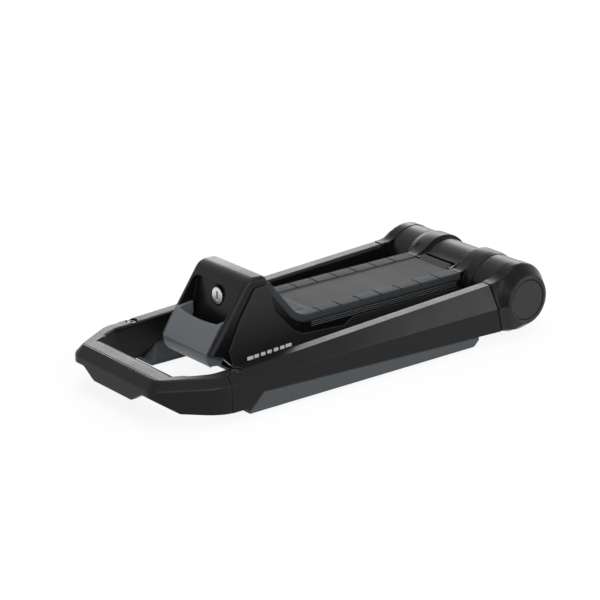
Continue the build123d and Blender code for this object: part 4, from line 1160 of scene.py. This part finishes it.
@dataclass
class BaseShell(SubAssembly):
    """The toe hood, the tray, the side panels, the chassis and the saddle under it."""

    hood_edge_mm: float = 0.7
    panel_edge_mm: float = 0.6
    tray_edge_mm: float = 0.5
    chassis_edge_mm: float = 0.4

    def build(self) -> list[Piece]:
        """Round and finish the base's mouldings.

        Returns:
            The finished pieces.
        """
        nodes = [FinishedNode("toe_hood", BLACK_NYLON, self.hood_edge_mm),
                 FinishedNode("pad_tray", SMOOTH_NYLON, self.tray_edge_mm),
                 FinishedNode("base_chassis", COATED_STEEL, self.chassis_edge_mm),
                 FinishedNode("bar_saddle", SADDLE_RUBBER, self.chassis_edge_mm)]
        nodes += [FinishedNode(f"side_panel_{side.word}", PANEL_NYLON_PAINTED_LIGHT, self.panel_edge_mm)
                  for side in Side]
        return [node.build() for node in nodes]


@dataclass
class TrayRibs(SubAssembly):
    """Fine ribs that run along each side of the tray, under the top pad."""

    front_x_mm: float = -28.0
    rear_x_mm: float = 134.0
    heights_mm: tuple[float, ...] = (41.3, 43.0, 44.7)
    half_height_mm: float = 0.38
    proud_mm: float = 0.34
    taper_mm: float = 2.0
    around: int = 16
    along: int = 60

    def rib(self, side: Side, height: float) -> Shape:
        """Make one rib: a long oval bar, half of which stands out of the tray's side.

        Each ring across the base is an ellipse. Towards each end it shrinks by a quarter circle
        over the taper, and it closes in a point.

        Args:
            side: the side of the tray.
            height: the rib's height in millimetres.

        Returns:
            Its points and faces.
        """
        turn = np.linspace(0, QUARTER, ARC_LINES)[:-1]
        middle = np.linspace(self.front_x_mm + self.taper_mm, self.rear_x_mm - self.taper_mm, self.along)
        ahead = self.front_x_mm + self.taper_mm * (1 - np.cos(turn))
        behind = self.rear_x_mm - self.taper_mm * (1 - np.cos(turn[::-1]))
        x = np.concatenate([ahead, middle, behind])[:, None]
        size = np.concatenate([np.sin(turn), np.ones(self.along), np.sin(turn[::-1])])[:, None]
        angle = np.linspace(0, 2 * np.pi, self.around, endpoint=False)[None, :]
        y = side.outer_wall("pad_tray") + self.proud_mm * size * np.cos(angle)
        z = height + self.half_height_mm * size * np.sin(angle)
        return skin_over(np.stack([np.broadcast_to(x, y.shape), y, z], -1))

    def build(self) -> list[Piece]:
        """Make the ribs of both sides and return them."""
        return [make_piece(f"tray_ribs_{side.word}", joined(self.rib(side, z) for z in self.heights_mm),
                           RIB_NYLON_PAINTED_HIGHLIGHT, "base") for side in Side]


@dataclass
class SideMarks(SubAssembly):
    """A row of printed dashes low on each side panel, of which the first and the last are longer."""

    count: int = 7
    first_x_mm: float = -91.7
    first_z_mm: float = 28.1
    pitch_mm: float = 6.6
    climb_mm: float = 0.32
    half_length_mm: float = 2.3
    long_share: float = 1.35
    half_height_mm: float = 1.5
    film_mm: float = 0.12
    squareness: float = 0.22
    rings: int = 13
    around: int = 28

    def squared(self, value: np.ndarray) -> np.ndarray:
        """Raise a value to the form's small power with its sign kept."""
        return np.sign(value) * np.abs(value) ** self.squareness

    def dash(self, side: Side, number: int) -> Shape:
        """Make one dash as a flat superellipsoid.

        With latitude a and longitude b, X is cos(a) cos(b), Z is cos(a) sin(b) and Y is sin(a),
        each raised to a small power with its sign kept, which squares the form.

        Args:
            side: the side panel.
            number: the dash's place in the row, from 0.

        Returns:
            Its points and faces.
        """
        latitude = np.linspace(-QUARTER, QUARTER, self.rings)[:, None]
        longitude = np.linspace(0, 2 * np.pi, self.around, endpoint=False)[None, :]
        flat = self.squared(np.cos(latitude))
        reach = self.half_length_mm * (self.long_share if number in (0, self.count - 1) else 1.0)
        x = self.first_x_mm + number * self.pitch_mm + reach * flat * self.squared(np.cos(longitude))
        z = (self.first_z_mm + number * self.climb_mm
             + self.half_height_mm * flat * self.squared(np.sin(longitude)))
        outer = side.outer_wall(f"side_panel_{side.word}")
        y = outer + self.film_mm * self.squared(np.sin(latitude)) * np.ones_like(longitude)
        return skin_over(np.stack([x, y, z], -1))

    def build(self) -> list[Piece]:
        """Make both rows of dashes and return them."""
        return [make_piece(f"side_marks_{side.word}", joined(self.dash(side, k) for k in range(self.count)),
                           MARK_INK, "base") for side in Side]


@dataclass
class LeverAndLock(SubAssembly):
    """The clamp lever in the toe and the lock above it."""

    lever_edge_mm: float = 0.6
    plug_edge_mm: float = 0.4

    def build(self) -> list[Piece]:
        """Round and finish the lever, the plug and its housing.

        Returns:
            The finished pieces.
        """
        nodes = [FinishedNode("clamp_lever", GREY_NYLON, self.lever_edge_mm),
                 FinishedNode("lock_plug", TURNED_NICKEL, self.plug_edge_mm),
                 FinishedNode("lock_housing", SMOOTH_NYLON, self.plug_edge_mm)]
        return [node.build() for node in nodes]


@dataclass
class BoatPads(SubAssembly):
    """The two long soft pads under the legs, each with a lip that reaches inwards.

    Attributes:
        wall_mm: how far the inner side leans outwards above the lip.
        draft_mm: how far the outer side leans over a height of draft_over_mm.
        end_mm: depth of the domed ends.
        end_draw: how much of its size the section loses over a domed end.
        closing: shares of its size in the rings that close the end.
        least_mm: the least height of a stretch of the inner side.
    """

    outer_mm: float = 81.0
    inner_mm: float = 54.0
    floor_mm: float = 1.7
    lip_height_mm: float = 2.5
    lip_top_mm: float = 15.8
    wall_mm: float = 10.9
    draft_mm: float = 1.1
    draft_over_mm: float = 30.0
    nose_mm: float = 13.0
    heel_mm: float = 5.0
    roof_front_mm: float = 18.1
    roof_rear_mm: float = 10.0
    corner_mm: float = 1.6
    end_mm: float = 0.6
    end_draw: float = 0.06
    closing: tuple[float, ...] = (0.5, 0.0)
    least_mm: float = 0.1
    around: int = 96
    along: int = 140

    def section(self, floor: float, roof: float) -> np.ndarray:
        """Outline of the pad across the leg, in Y and Z, with its corners rounded.

        The inner side stands on the lip, leans outwards above it and ends at the leg. It is cut
        off at the roof's height.

        Args:
            floor: height of the underside in millimetres.
            roof: height of the top.

        Returns:
            One row of Y and Z for each point.
        """
        lip = floor + self.lip_height_mm
        lean_end = max(self.lip_top_mm, lip + self.least_mm)
        heights = np.array([lip, lean_end, roof]).clip(max=roof)
        reach = np.interp(heights, [lip, lean_end], [self.inner_mm, self.inner_mm + self.wall_mm])
        corners = [(self.inner_mm, floor), (self.inner_mm, min(lip, roof))]
        corners += [(y, z) for y, z in zip(reach, heights) if z > lip + self.least_mm / 2]
        corners += [(self.outer_mm + self.draft_mm * (roof - floor) / self.draft_over_mm, roof),
                    (self.outer_mm, floor)]
        unique = [corner for k, corner in enumerate(corners) if corner != corners[k - 1]]
        return rounded_loop(np.array(unique), self.corner_mm, self.around)

    def domed(self, ring: np.ndarray, direction: int) -> np.ndarray:
        """Close an end: the section is drawn in towards its middle along a quarter circle.

        Args:
            ring: the last ring of points.
            direction: 1 for the rear end, -1 for the front end.

        Returns:
            The rings beyond it, from the one nearest the front.
        """
        turn = np.linspace(0, QUARTER, ARC_LINES)[1:]
        depth = np.concatenate([np.sin(turn) * self.end_mm, [self.end_mm] * len(self.closing)])
        draw = np.concatenate([1 - (1 - np.cos(turn)) * self.end_draw, self.closing])
        middle = ring.mean(0)
        rings = middle + (ring - middle) * draw[:, None, None]
        rings[..., 0] = ring[0, 0] + direction * depth[:, None]
        return rings if direction == 1 else rings[::-1]

    def surface(self, side: Side) -> Shape:
        """Carry the section along the leg and close both ends with domed caps.

        The floor rises over the heel and the roof falls over the nose, both in straight lines.

        Args:
            side: which pad.

        Returns:
            Its points and faces.
        """
        low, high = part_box(f"boat_pad_{side.word}")
        start, end = low.x / MM, high.x / MM
        x = np.linspace(start + self.end_mm, end - self.end_mm, self.along)
        rear_share = (x - start - self.nose_mm) / (end - start - self.nose_mm)
        roof = self.roof_front_mm + rear_share.clip(0) * (self.roof_rear_mm - self.roof_front_mm)
        ramp = self.floor_mm + self.lip_height_mm + (x - start) / self.nose_mm * (
            self.roof_front_mm - self.floor_mm - self.lip_height_mm)
        floor = self.floor_mm + (x - (end - self.heel_mm)).clip(0)
        loops = np.stack([self.section(f, r) for f, r in zip(floor, np.minimum(roof, ramp))])
        points = np.concatenate([np.broadcast_to(x[:, None, None], (*loops.shape[:2], 1)), loops], -1)
        points = np.concatenate([self.domed(points[0], -1), points, self.domed(points[-1], 1)])
        points[..., 1] *= side.value
        return skin_over(points)

    def build(self) -> list[Piece]:
        """Returns:
            The two pads.
        """
        made = []
        for side in Side:
            pad = make_piece(f"boat_pad_{side.word}_soft", self.surface(side), BOAT_PAD_RUBBER, "arm")
            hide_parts(f"boat_pad_{side.word}")
            made.append(pad)
        return made


@dataclass
class TopPad(SubAssembly):
    """The grey pad on the base: two notched strips, a channel between them and a slope at its front.

    Attributes:
        foot_x_mm: place where the level top and the slope would meet without the bend.
        slope_top_x_mm: place of the slope's upper end.
        bend_mm: radius of the bend between them.
        channel_mm: depth of the channel.
        channel_end_mm: place of the channel's front end, before which it fades out.
        notch_first_mm: place of the foremost notch.
        notch_wall_mm: half the run of a notch's wall.
        notch_clear_mm: how near to a notch no other line across the pad comes.
        groove_share: share of a notch's depth below which it is painted near black, as painted shade.
        top_share: share of the shoulder's depth down to which a point is part of the top.
        level_mm: depth down to which a point lies on a strip's level part, which is crowned.
        end_mm: radius of the pad's turned ends.
        end_lines_mm: distances from an end of the lines that draw its turn.
        end_clear_mm: how near to the path's end the evenly spaced lines stop.
        step_mm: distance between those lines.
        flank_mm: how far below the pad's half width the painted shade of its sides begins.
        flank_soft_mm: width over which it begins.
        peak_half_mm: half the pad's width beside the slope's top, in front of peak_x and below peak_z.
        tongue_draw: how much of its size the tongue's section loses over an end.
        tongue_closing: shares of its size in the rings that close the end.
    """

    top_mm: float = 52.2
    thickness_mm: float = 6.0
    half_width_mm: float = 35.8
    rear_x_mm: float = 138.0
    foot_x_mm: float = -40.0
    slope_top_x_mm: float = -70.5
    slope_top_z_mm: float = 88.3
    bend_mm: float = 22.0
    strip_inner_mm: float = 22.8
    channel_mm: float = 1.5
    channel_end_mm: float = -18.0
    channel_fade_mm: float = 6.0
    channel_wall_mm: float = 0.25
    notch_first_mm: float = -17.4
    notch_pitch_mm: float = 21.97
    notch_count: int = 7
    notch_half_mm: float = 0.65
    notch_wall_mm: float = 0.12
    notch_depth_mm: float = 1.2
    notch_clear_mm: float = 1.1
    groove_share: float = 0.6
    shoulder_mm: float = 1.2
    top_share: float = 0.9
    level_mm: float = 0.01
    end_mm: float = 1.2
    end_lines_mm: tuple[float, ...] = (0.0, 0.1, 0.25, 0.5, 0.8)
    end_clear_mm: float = 1.3
    step_mm: float = 2.4
    flank_mm: float = 0.5
    flank_soft_mm: float = 0.4
    bottom_edge_mm: float = 0.4
    crown_mm: float = 0.35
    peak_x_mm: float = -69.3
    peak_z_mm: float = 86.7
    peak_half_mm: float = 34.8
    tongue_half_mm: float = 18.1
    tongue_thick_mm: float = 3.0
    tongue_reach_mm: float = 5.8
    tongue_rise_mm: float = 1.8
    tongue_round_mm: float = 0.7
    tongue_draw: float = 0.18
    tongue_closing: tuple[float, ...] = (0.4, 0.0)
    tongue_around: int = 40
    strip_lines: int = 12
    channel_lines: int = 25
    shoulder_lines: int = 6
    side_lines: int = 4
    bottom_lines: int = 15

    @property
    def climb(self) -> float:
        """The slope's angle from level, in radians."""
        return math.atan2(self.slope_top_z_mm - self.top_mm, self.foot_x_mm - self.slope_top_x_mm)

    @property
    def bend_reach(self) -> float:
        """How far the bend reaches from the foot along either run, in millimetres."""
        return self.bend_mm * math.tan(self.climb / 2)

    @property
    def notches(self) -> np.ndarray:
        """Places of the notches along X, in millimetres."""
        return self.notch_first_mm + np.arange(self.notch_count) * self.notch_pitch_mm

    def length(self) -> float:
        """Add up the level run, the bend and the slope along the pad's top.

        Returns:
            The length of the path in millimetres.
        """
        rise, run = self.slope_top_z_mm - self.top_mm, self.foot_x_mm - self.slope_top_x_mm
        return ((self.rear_x_mm - self.foot_x_mm - self.bend_reach) + self.bend_mm * self.climb
                + math.hypot(rise, run) - self.bend_reach)

    def spine(self, stations: np.ndarray) -> tuple[np.ndarray, np.ndarray, np.ndarray]:
        """Follow the pad's top from its rear end forwards, over the bend and up the slope.

        The path is a straight run, an arc tangent to both runs and a second straight run.

        Args:
            stations: distances along the path from the rear end, in millimetres.

        Returns:
            X and Z of the path, and the turn of its normal from upright in radians.
        """
        climb = self.climb
        flat_end = self.rear_x_mm - (self.foot_x_mm + self.bend_reach)
        turn = ((stations - flat_end) / self.bend_mm).clip(0, climb)
        x = self.rear_x_mm - stations.clip(max=flat_end) - self.bend_mm * np.sin(turn)
        z = self.top_mm + self.bend_mm * (1 - np.cos(turn))
        beyond = (stations - flat_end - self.bend_mm * climb).clip(0)
        return x - beyond * math.cos(climb), z + beyond * math.sin(climb), turn

    def stations(self) -> np.ndarray:
        """Choose the distances along the path, with a line on each side of every notch wall.

        Returns:
            The distances in millimetres, in order.
        """
        notches = self.rear_x_mm - self.notches
        wall = np.array([-self.notch_half_mm - self.notch_wall_mm, -self.notch_half_mm + self.notch_wall_mm,
                         self.notch_half_mm - self.notch_wall_mm, self.notch_half_mm + self.notch_wall_mm])
        ends = np.array([*self.end_lines_mm, self.end_mm])
        plain = np.arange(self.step_mm, self.length() - self.end_clear_mm, self.step_mm)
        near = np.abs(plain[:, None] - notches[None, :]).min(1) < self.notch_clear_mm
        return np.unique(np.concatenate([plain[~near], (notches[:, None] + wall).ravel(),
                                         ends, self.length() - ends]))

    def outline(self) -> tuple[np.ndarray, np.ndarray]:
        """Points round the pad's section: Y across, and the depth below its top.

        The top runs from one shoulder to the other with lines at the channel's walls. A quarter
        circle turns over each shoulder, and the sides and the bottom close the loop.

        Returns:
            Y and the depth of each point, in millimetres.
        """
        half, shoulder, wall = self.half_width_mm, self.shoulder_mm, self.channel_wall_mm
        strip = np.linspace(self.strip_inner_mm + wall, half - shoulder, self.strip_lines)
        channel = np.linspace(-self.strip_inner_mm + wall, self.strip_inner_mm - wall, self.channel_lines)
        turn = np.linspace(0, QUARTER, self.shoulder_lines + 1)[1:]
        top = np.concatenate([-strip[::-1], channel, strip])
        shoulder_y = half - shoulder + shoulder * np.sin(turn)
        shoulder_d = shoulder * (1 - np.cos(turn))
        side_y = np.full(self.side_lines, half)
        side_d = np.linspace(shoulder, self.thickness_mm - self.bottom_edge_mm, self.side_lines + 1)[1:]
        bottom_y = np.linspace(half - self.bottom_edge_mm, -half + self.bottom_edge_mm, self.bottom_lines)
        bottom_d = np.full(self.bottom_lines, self.thickness_mm)
        y = np.concatenate([top, shoulder_y, side_y, bottom_y, -side_y, -shoulder_y[::-1]])
        d = np.concatenate([np.zeros(len(top)), shoulder_d, side_d, bottom_d, side_d[::-1], shoulder_d[::-1]])
        return y, d

    def pressed(self, stations: np.ndarray, path_x: np.ndarray, y: np.ndarray,
                depth: np.ndarray) -> np.ndarray:
        """Press the channel and the notches into the pad's top.

        The depth of a top point is the channel's depth inside the strips, faded in over a short
        run, plus the notch's depth between its walls. A shallow crown bows each strip: it falls
        by the square of the place across. Both ends turn over a small radius.

        Args:
            stations: distances along the path.
            path_x: X of the path at each of them.
            y: the places across, by station and by point.
            depth: the section's depths, by station and by point.

        Returns:
            The new depths.
        """
        on_top = depth < self.shoulder_mm * self.top_share
        inside = np.abs(y) < self.strip_inner_mm
        fade = eased(((path_x - self.channel_end_mm) / self.channel_fade_mm + 1).clip(0, 1)[:, None])
        channel = self.channel_mm * fade * (inside & on_top)
        gap = np.abs(stations[:, None] - (self.rear_x_mm - self.notches)[None, :]).min(1)[:, None]
        notch = self.notch_depth_mm * (gap < self.notch_half_mm) * ((~inside) & on_top)
        middle = (self.strip_inner_mm + self.half_width_mm) / 2
        half_strip = self.half_width_mm - middle
        crown = self.crown_mm * (((np.abs(y) - middle) / half_strip) ** 2).clip(0, 1) * ((~inside) & on_top)
        crown = crown * (depth < self.level_mm)
        sunk = depth + channel + np.maximum(notch, crown) * (depth < self.notch_depth_mm)
        edge = np.minimum(stations, self.length() - stations)[:, None].clip(max=self.end_mm)
        turned = self.end_mm - np.sqrt((self.end_mm ** 2 - (self.end_mm - edge) ** 2).clip(0))
        return np.maximum(sunk, np.where(on_top, turned, 0))

    def surface(self) -> Shape:
        """Carry the pressed section along the path and close both ends with a flat face.

        Returns:
            The pad's points and faces.
        """
        stations = self.stations()
        path_x, path_z, turn = self.spine(stations)
        y, depth = [np.broadcast_to(row, (len(stations), len(row))) for row in self.outline()]
        sunk = self.pressed(stations, path_x, y, depth)
        x = path_x[:, None] - sunk * np.sin(turn)[:, None]
        z = path_z[:, None] - sunk * np.cos(turn)[:, None]
        beside_peak = (x < self.peak_x_mm) & (z < self.peak_z_mm)
        y = np.where(beside_peak, y.clip(-self.peak_half_mm, self.peak_half_mm), y)
        points, faces = skin_over(np.stack([x, y, z], -1))
        rows, columns = x.shape
        ends = [list(range(columns)), list(range((rows - 1) * columns, rows * columns))[::-1]]
        return points, faces.tolist() + ends

    def tongue(self, across: int = 24) -> Shape:
        """Make the tongue that runs from the channel's rear end up to the strap slot.

        A slanting oblong with rounded corners is carried across the base. Towards each end it is
        drawn in by a quarter circle, and it closes in a point.

        Args:
            across: how many rings its level part gets.

        Returns:
            Its points and faces.
        """
        top, foot = self.top_mm - self.channel_mm, self.rear_x_mm - 2 * self.notch_half_mm
        tip, rise = self.rear_x_mm + self.tongue_reach_mm, self.top_mm + self.tongue_rise_mm
        corners = np.array([(foot, top), (tip, rise), (tip, rise - self.tongue_thick_mm),
                            (foot, top - self.tongue_thick_mm)])
        loop = rounded_loop(corners, self.tongue_round_mm, self.tongue_around)
        turn = np.linspace(0, QUARTER, ARC_LINES)
        ends = self.tongue_half_mm - self.tongue_round_mm * (1 - np.sin(turn))
        half = np.concatenate([np.linspace(0, ends[0], across // 2)[:-1], ends,
                               [ends[-1]] * len(self.tongue_closing)])
        shrink = np.concatenate([np.ones(across // 2 - 1), 1 - self.tongue_draw * (1 - np.cos(turn)),
                                 self.tongue_closing])
        y = np.concatenate([-half[:0:-1], half])
        share = np.concatenate([shrink[:0:-1], shrink])[:, None, None]
        middle = loop.mean(0)
        rings = middle + (loop - middle) * share
        spots = np.broadcast_to(y[:, None], rings.shape[:2])
        return skin_over(np.stack([rings[..., 0], spots, rings[..., 1]], -1))

    def marks(self, mesh: bpy.types.Mesh) -> None:
        """Mark the pad's upright sides and the bottoms of its notches, where shade is painted: darker and
        bluer on the sides, near black in the notches.

        Args:
            mesh: the pad's mesh.
        """
        x, y, z = points_mm(mesh)
        flank = ((np.abs(y) - self.half_width_mm + self.flank_mm) / self.flank_soft_mm).clip(0, 1)
        beside = np.abs(x[:, None] - self.notches[None, :]).min(1) < self.notch_half_mm
        bottom = self.top_mm - self.notch_depth_mm * self.groove_share
        low = (z < bottom) & (np.abs(y) > self.strip_inner_mm)
        # Painted shade: the upright sides turn darker and bluer, and the notch bottoms near black
        keep_mark(mesh, "flank", flank)
        keep_mark(mesh, "groove", (beside & low & (flank < 0.5)).astype(float))

    def build(self) -> list[Piece]:
        """Returns:
            The pad.
        """
        points, faces = self.surface()
        more_points, more_faces = self.tongue()
        faces += (more_faces + len(points)).tolist()
        pad = make_piece("top_pad_soft", (np.vstack([points, more_points]), faces), TOP_PAD_RUBBER_PAINTED_SHADE, "base")
        self.marks(pad.data)
        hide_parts("base_pad")
        return [pad]


@dataclass
class HiddenWorks(SubAssembly):
    """Every node of the frame that keeps its own mesh, mostly inside: shafts, springs, rod and nuts."""

    def build(self) -> list[Piece]:
        """Give each node that still shows the finish of its slot in the record.

        Returns:
            The nodes' own objects.
        """
        slots = {row["node"]: row["material_slot"] for row in frame["record"]["subparts"]}
        shown = {name: node for name, node in frame["nodes"].items() if not node.hide_render}
        for name, node in shown.items():
            node.data.materials.clear()
            node.data.materials.append(SLOT_FINISH[slots[name]].material())
        return list(shown.values())


@dataclass
class Studio:
    """A pale floor that runs out of sight, soft lamps and the camera.

    Attributes:
        camera_place: the camera's place in metres.
        camera_aim: the direction in which it looks.
        lens_mm: its focal length.
        sensor_mm: width of the frame that this length goes with.
        far_m: how far the camera sees.
        floor_half: half the floor's width in metres.
        shadow_share: how much of the object's shadow the white floor keeps.
        shadow_reach: distances from the middle, in metres, between which the shadow fades out.
        glow: strength of the floor's white.
        room_light: strength of the room's even light.
        lamps: name, place in metres, width and height in metres and watts of each lamp.
    """

    camera_place: tuple[float, float, float] = (-1.14533, -1.41990, 0.69479)
    camera_aim: tuple[float, float, float] = (0.5883, 0.7362, -0.3344)
    lens_mm: float = 138.05
    sensor_mm: float = 36.0
    far_m: float = 50.0
    floor_half: float = 6.0
    shadow_share: float = 0.14
    shadow_reach: tuple[float, float] = (0.45, 0.85)
    glow: float = 1.03
    room_light: float = 0.35
    lamps: tuple[tuple, ...] = (
        ("overhead", (0.0, 0.0, 1.7), (1.2, 1.0), 8.0),
        ("rear_strip", (0.95, 1.17, 0.55), (1.7, 0.5), 10.0),
        ("right_strip", (0.98, -1.12, 0.24), (0.9, 0.3), 3.0),
        ("front_fill", (-1.3, -1.0, 0.9), (0.9, 0.9), 4.0),
        ("side_fill", (-0.3, -1.7, 1.0), (1.2, 1.0), 13.0))

    def camera(self) -> None:
        """Set up the camera at the viewing angle of the product picture."""
        data = bpy.data.cameras.new("camera")
        data.lens, data.sensor_width, data.clip_end = self.lens_mm, self.sensor_mm, self.far_m
        camera = into_scene("camera", data)
        camera.location = self.camera_place
        look_along(camera, Vector(self.camera_aim))
        bpy.context.scene.camera = camera

    def lamp(self, name: str, place: tuple[float, float, float], size: tuple[float, float],
             power: float) -> None:
        """Hang a rectangular soft lamp that faces the object.

        Args:
            name: the lamp's name.
            place: where it hangs, in metres.
            size: its width and height in metres.
            power: its power in watts.
        """
        data = bpy.data.lights.new(name, "AREA")
        data.shape = "RECTANGLE"
        data.size, data.size_y = size
        data.energy = power
        lamp = into_scene(name, data)
        lamp.location = place
        look_along(lamp, -Vector(place))

    def seen_white(self, tree: Tree) -> Socket:
        """Tell rays that see the background: from the camera, a mirror or through glass.

        Args:
            tree: the nodes of the world or of the floor.

        Returns:
            1 for those rays, and 0 for others.
        """
        path = add_node(tree, "ShaderNodeLightPath")
        seen = path.outputs["Is Camera Ray"]
        for ray in ("Is Glossy Ray", "Is Transmission Ray"):
            seen = add_node(tree, "ShaderNodeMath", {"operation": "MAXIMUM"},
                            {0: seen, 1: path.outputs[ray]}).outputs["Value"]
        return seen

    def world(self) -> None:
        """Light the room evenly, with a background that is white where it is seen."""
        world = bpy.data.worlds.new("studio")
        tree = empty_tree(world)
        strength = add_node(tree, "ShaderNodeMapRange", {"To Min": self.room_light, "To Max": 1.0},
                            {"Value": self.seen_white(tree)})
        light = add_node(tree, "ShaderNodeBackground", {"Color": linear("#ffffff")},
                         {"Strength": strength.outputs["Result"]})
        add_node(tree, "ShaderNodeOutputWorld", links={"Surface": light.outputs["Background"]})
        bpy.context.scene.world = world

    def paper(self) -> bpy.types.Material:
        """Make the floor's paper: white where it is seen, less a share of the object's shadow.

        Returns:
            The material.
        """
        paper = bpy.data.materials.new("paper_white_roll")
        tree = empty_tree(paper)
        lit = add_node(tree, "ShaderNodeBsdfDiffuse", {"Color": linear("#fafafa")})
        glow = add_node(tree, "ShaderNodeEmission", {"Color": linear("#ffffff"), "Strength": self.glow})
        place = add_node(tree, "ShaderNodeTexCoord").outputs["Object"]
        away = add_node(tree, "ShaderNodeVectorMath", {"operation": "LENGTH"}, {0: place}).outputs["Value"]
        near, far = self.shadow_reach
        settings = {"interpolation_type": "SMOOTHSTEP", "From Min": near, "From Max": far,
                    "To Min": 1 - self.shadow_share, "To Max": 1.0}
        glowing = add_node(tree, "ShaderNodeMapRange", settings, {"Value": away}).outputs["Result"]
        share = add_node(tree, "ShaderNodeMath", {"operation": "MULTIPLY"},
                         {0: self.seen_white(tree), 1: glowing})
        both = add_node(tree, "ShaderNodeMixShader", links={
            0: share.outputs["Value"], 1: lit.outputs["BSDF"], 2: glow.outputs["Emission"]})
        add_node(tree, "ShaderNodeOutputMaterial", links={"Surface": both.outputs["Shader"]})
        return paper

    def floor(self) -> None:
        """Lay the floor under the object."""
        half = self.floor_half
        mesh = bpy.data.meshes.new("floor")
        mesh.from_pydata([(-half, -half, 0), (half, -half, 0), (half, half, 0), (-half, half, 0)], [],
                         [(0, 1, 2, 3)])
        floor = into_scene("floor", mesh)
        mesh.materials.append(self.paper())

    def build(self) -> None:
        """Set up the camera, the floor, the room and the lamps."""
        bpy.context.scene.view_settings.view_transform = "Standard"
        self.camera()
        self.floor()
        self.world()
        for lamp in self.lamps:
            self.lamp(*lamp)


def main() -> None:
    """Dress the frame, one sub-assembly after another, and light it."""
    logging.basicConfig(level=logging.INFO, format="%(message)s")
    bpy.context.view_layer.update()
    groups: tuple[SubAssembly, ...] = (
        SwingingArm(), Knuckles(), Hinge(), BaseShell(), TrayRibs(), SideMarks(), LeverAndLock(),
        BoatPads(), TopPad(), HiddenWorks())
    for group in groups:
        for piece in group.build():
            log.info("%s: %s, %d points", type(group).__name__, piece.name, len(piece.data.vertices))
    Studio().build()


if __name__ == "__main__":
    main()
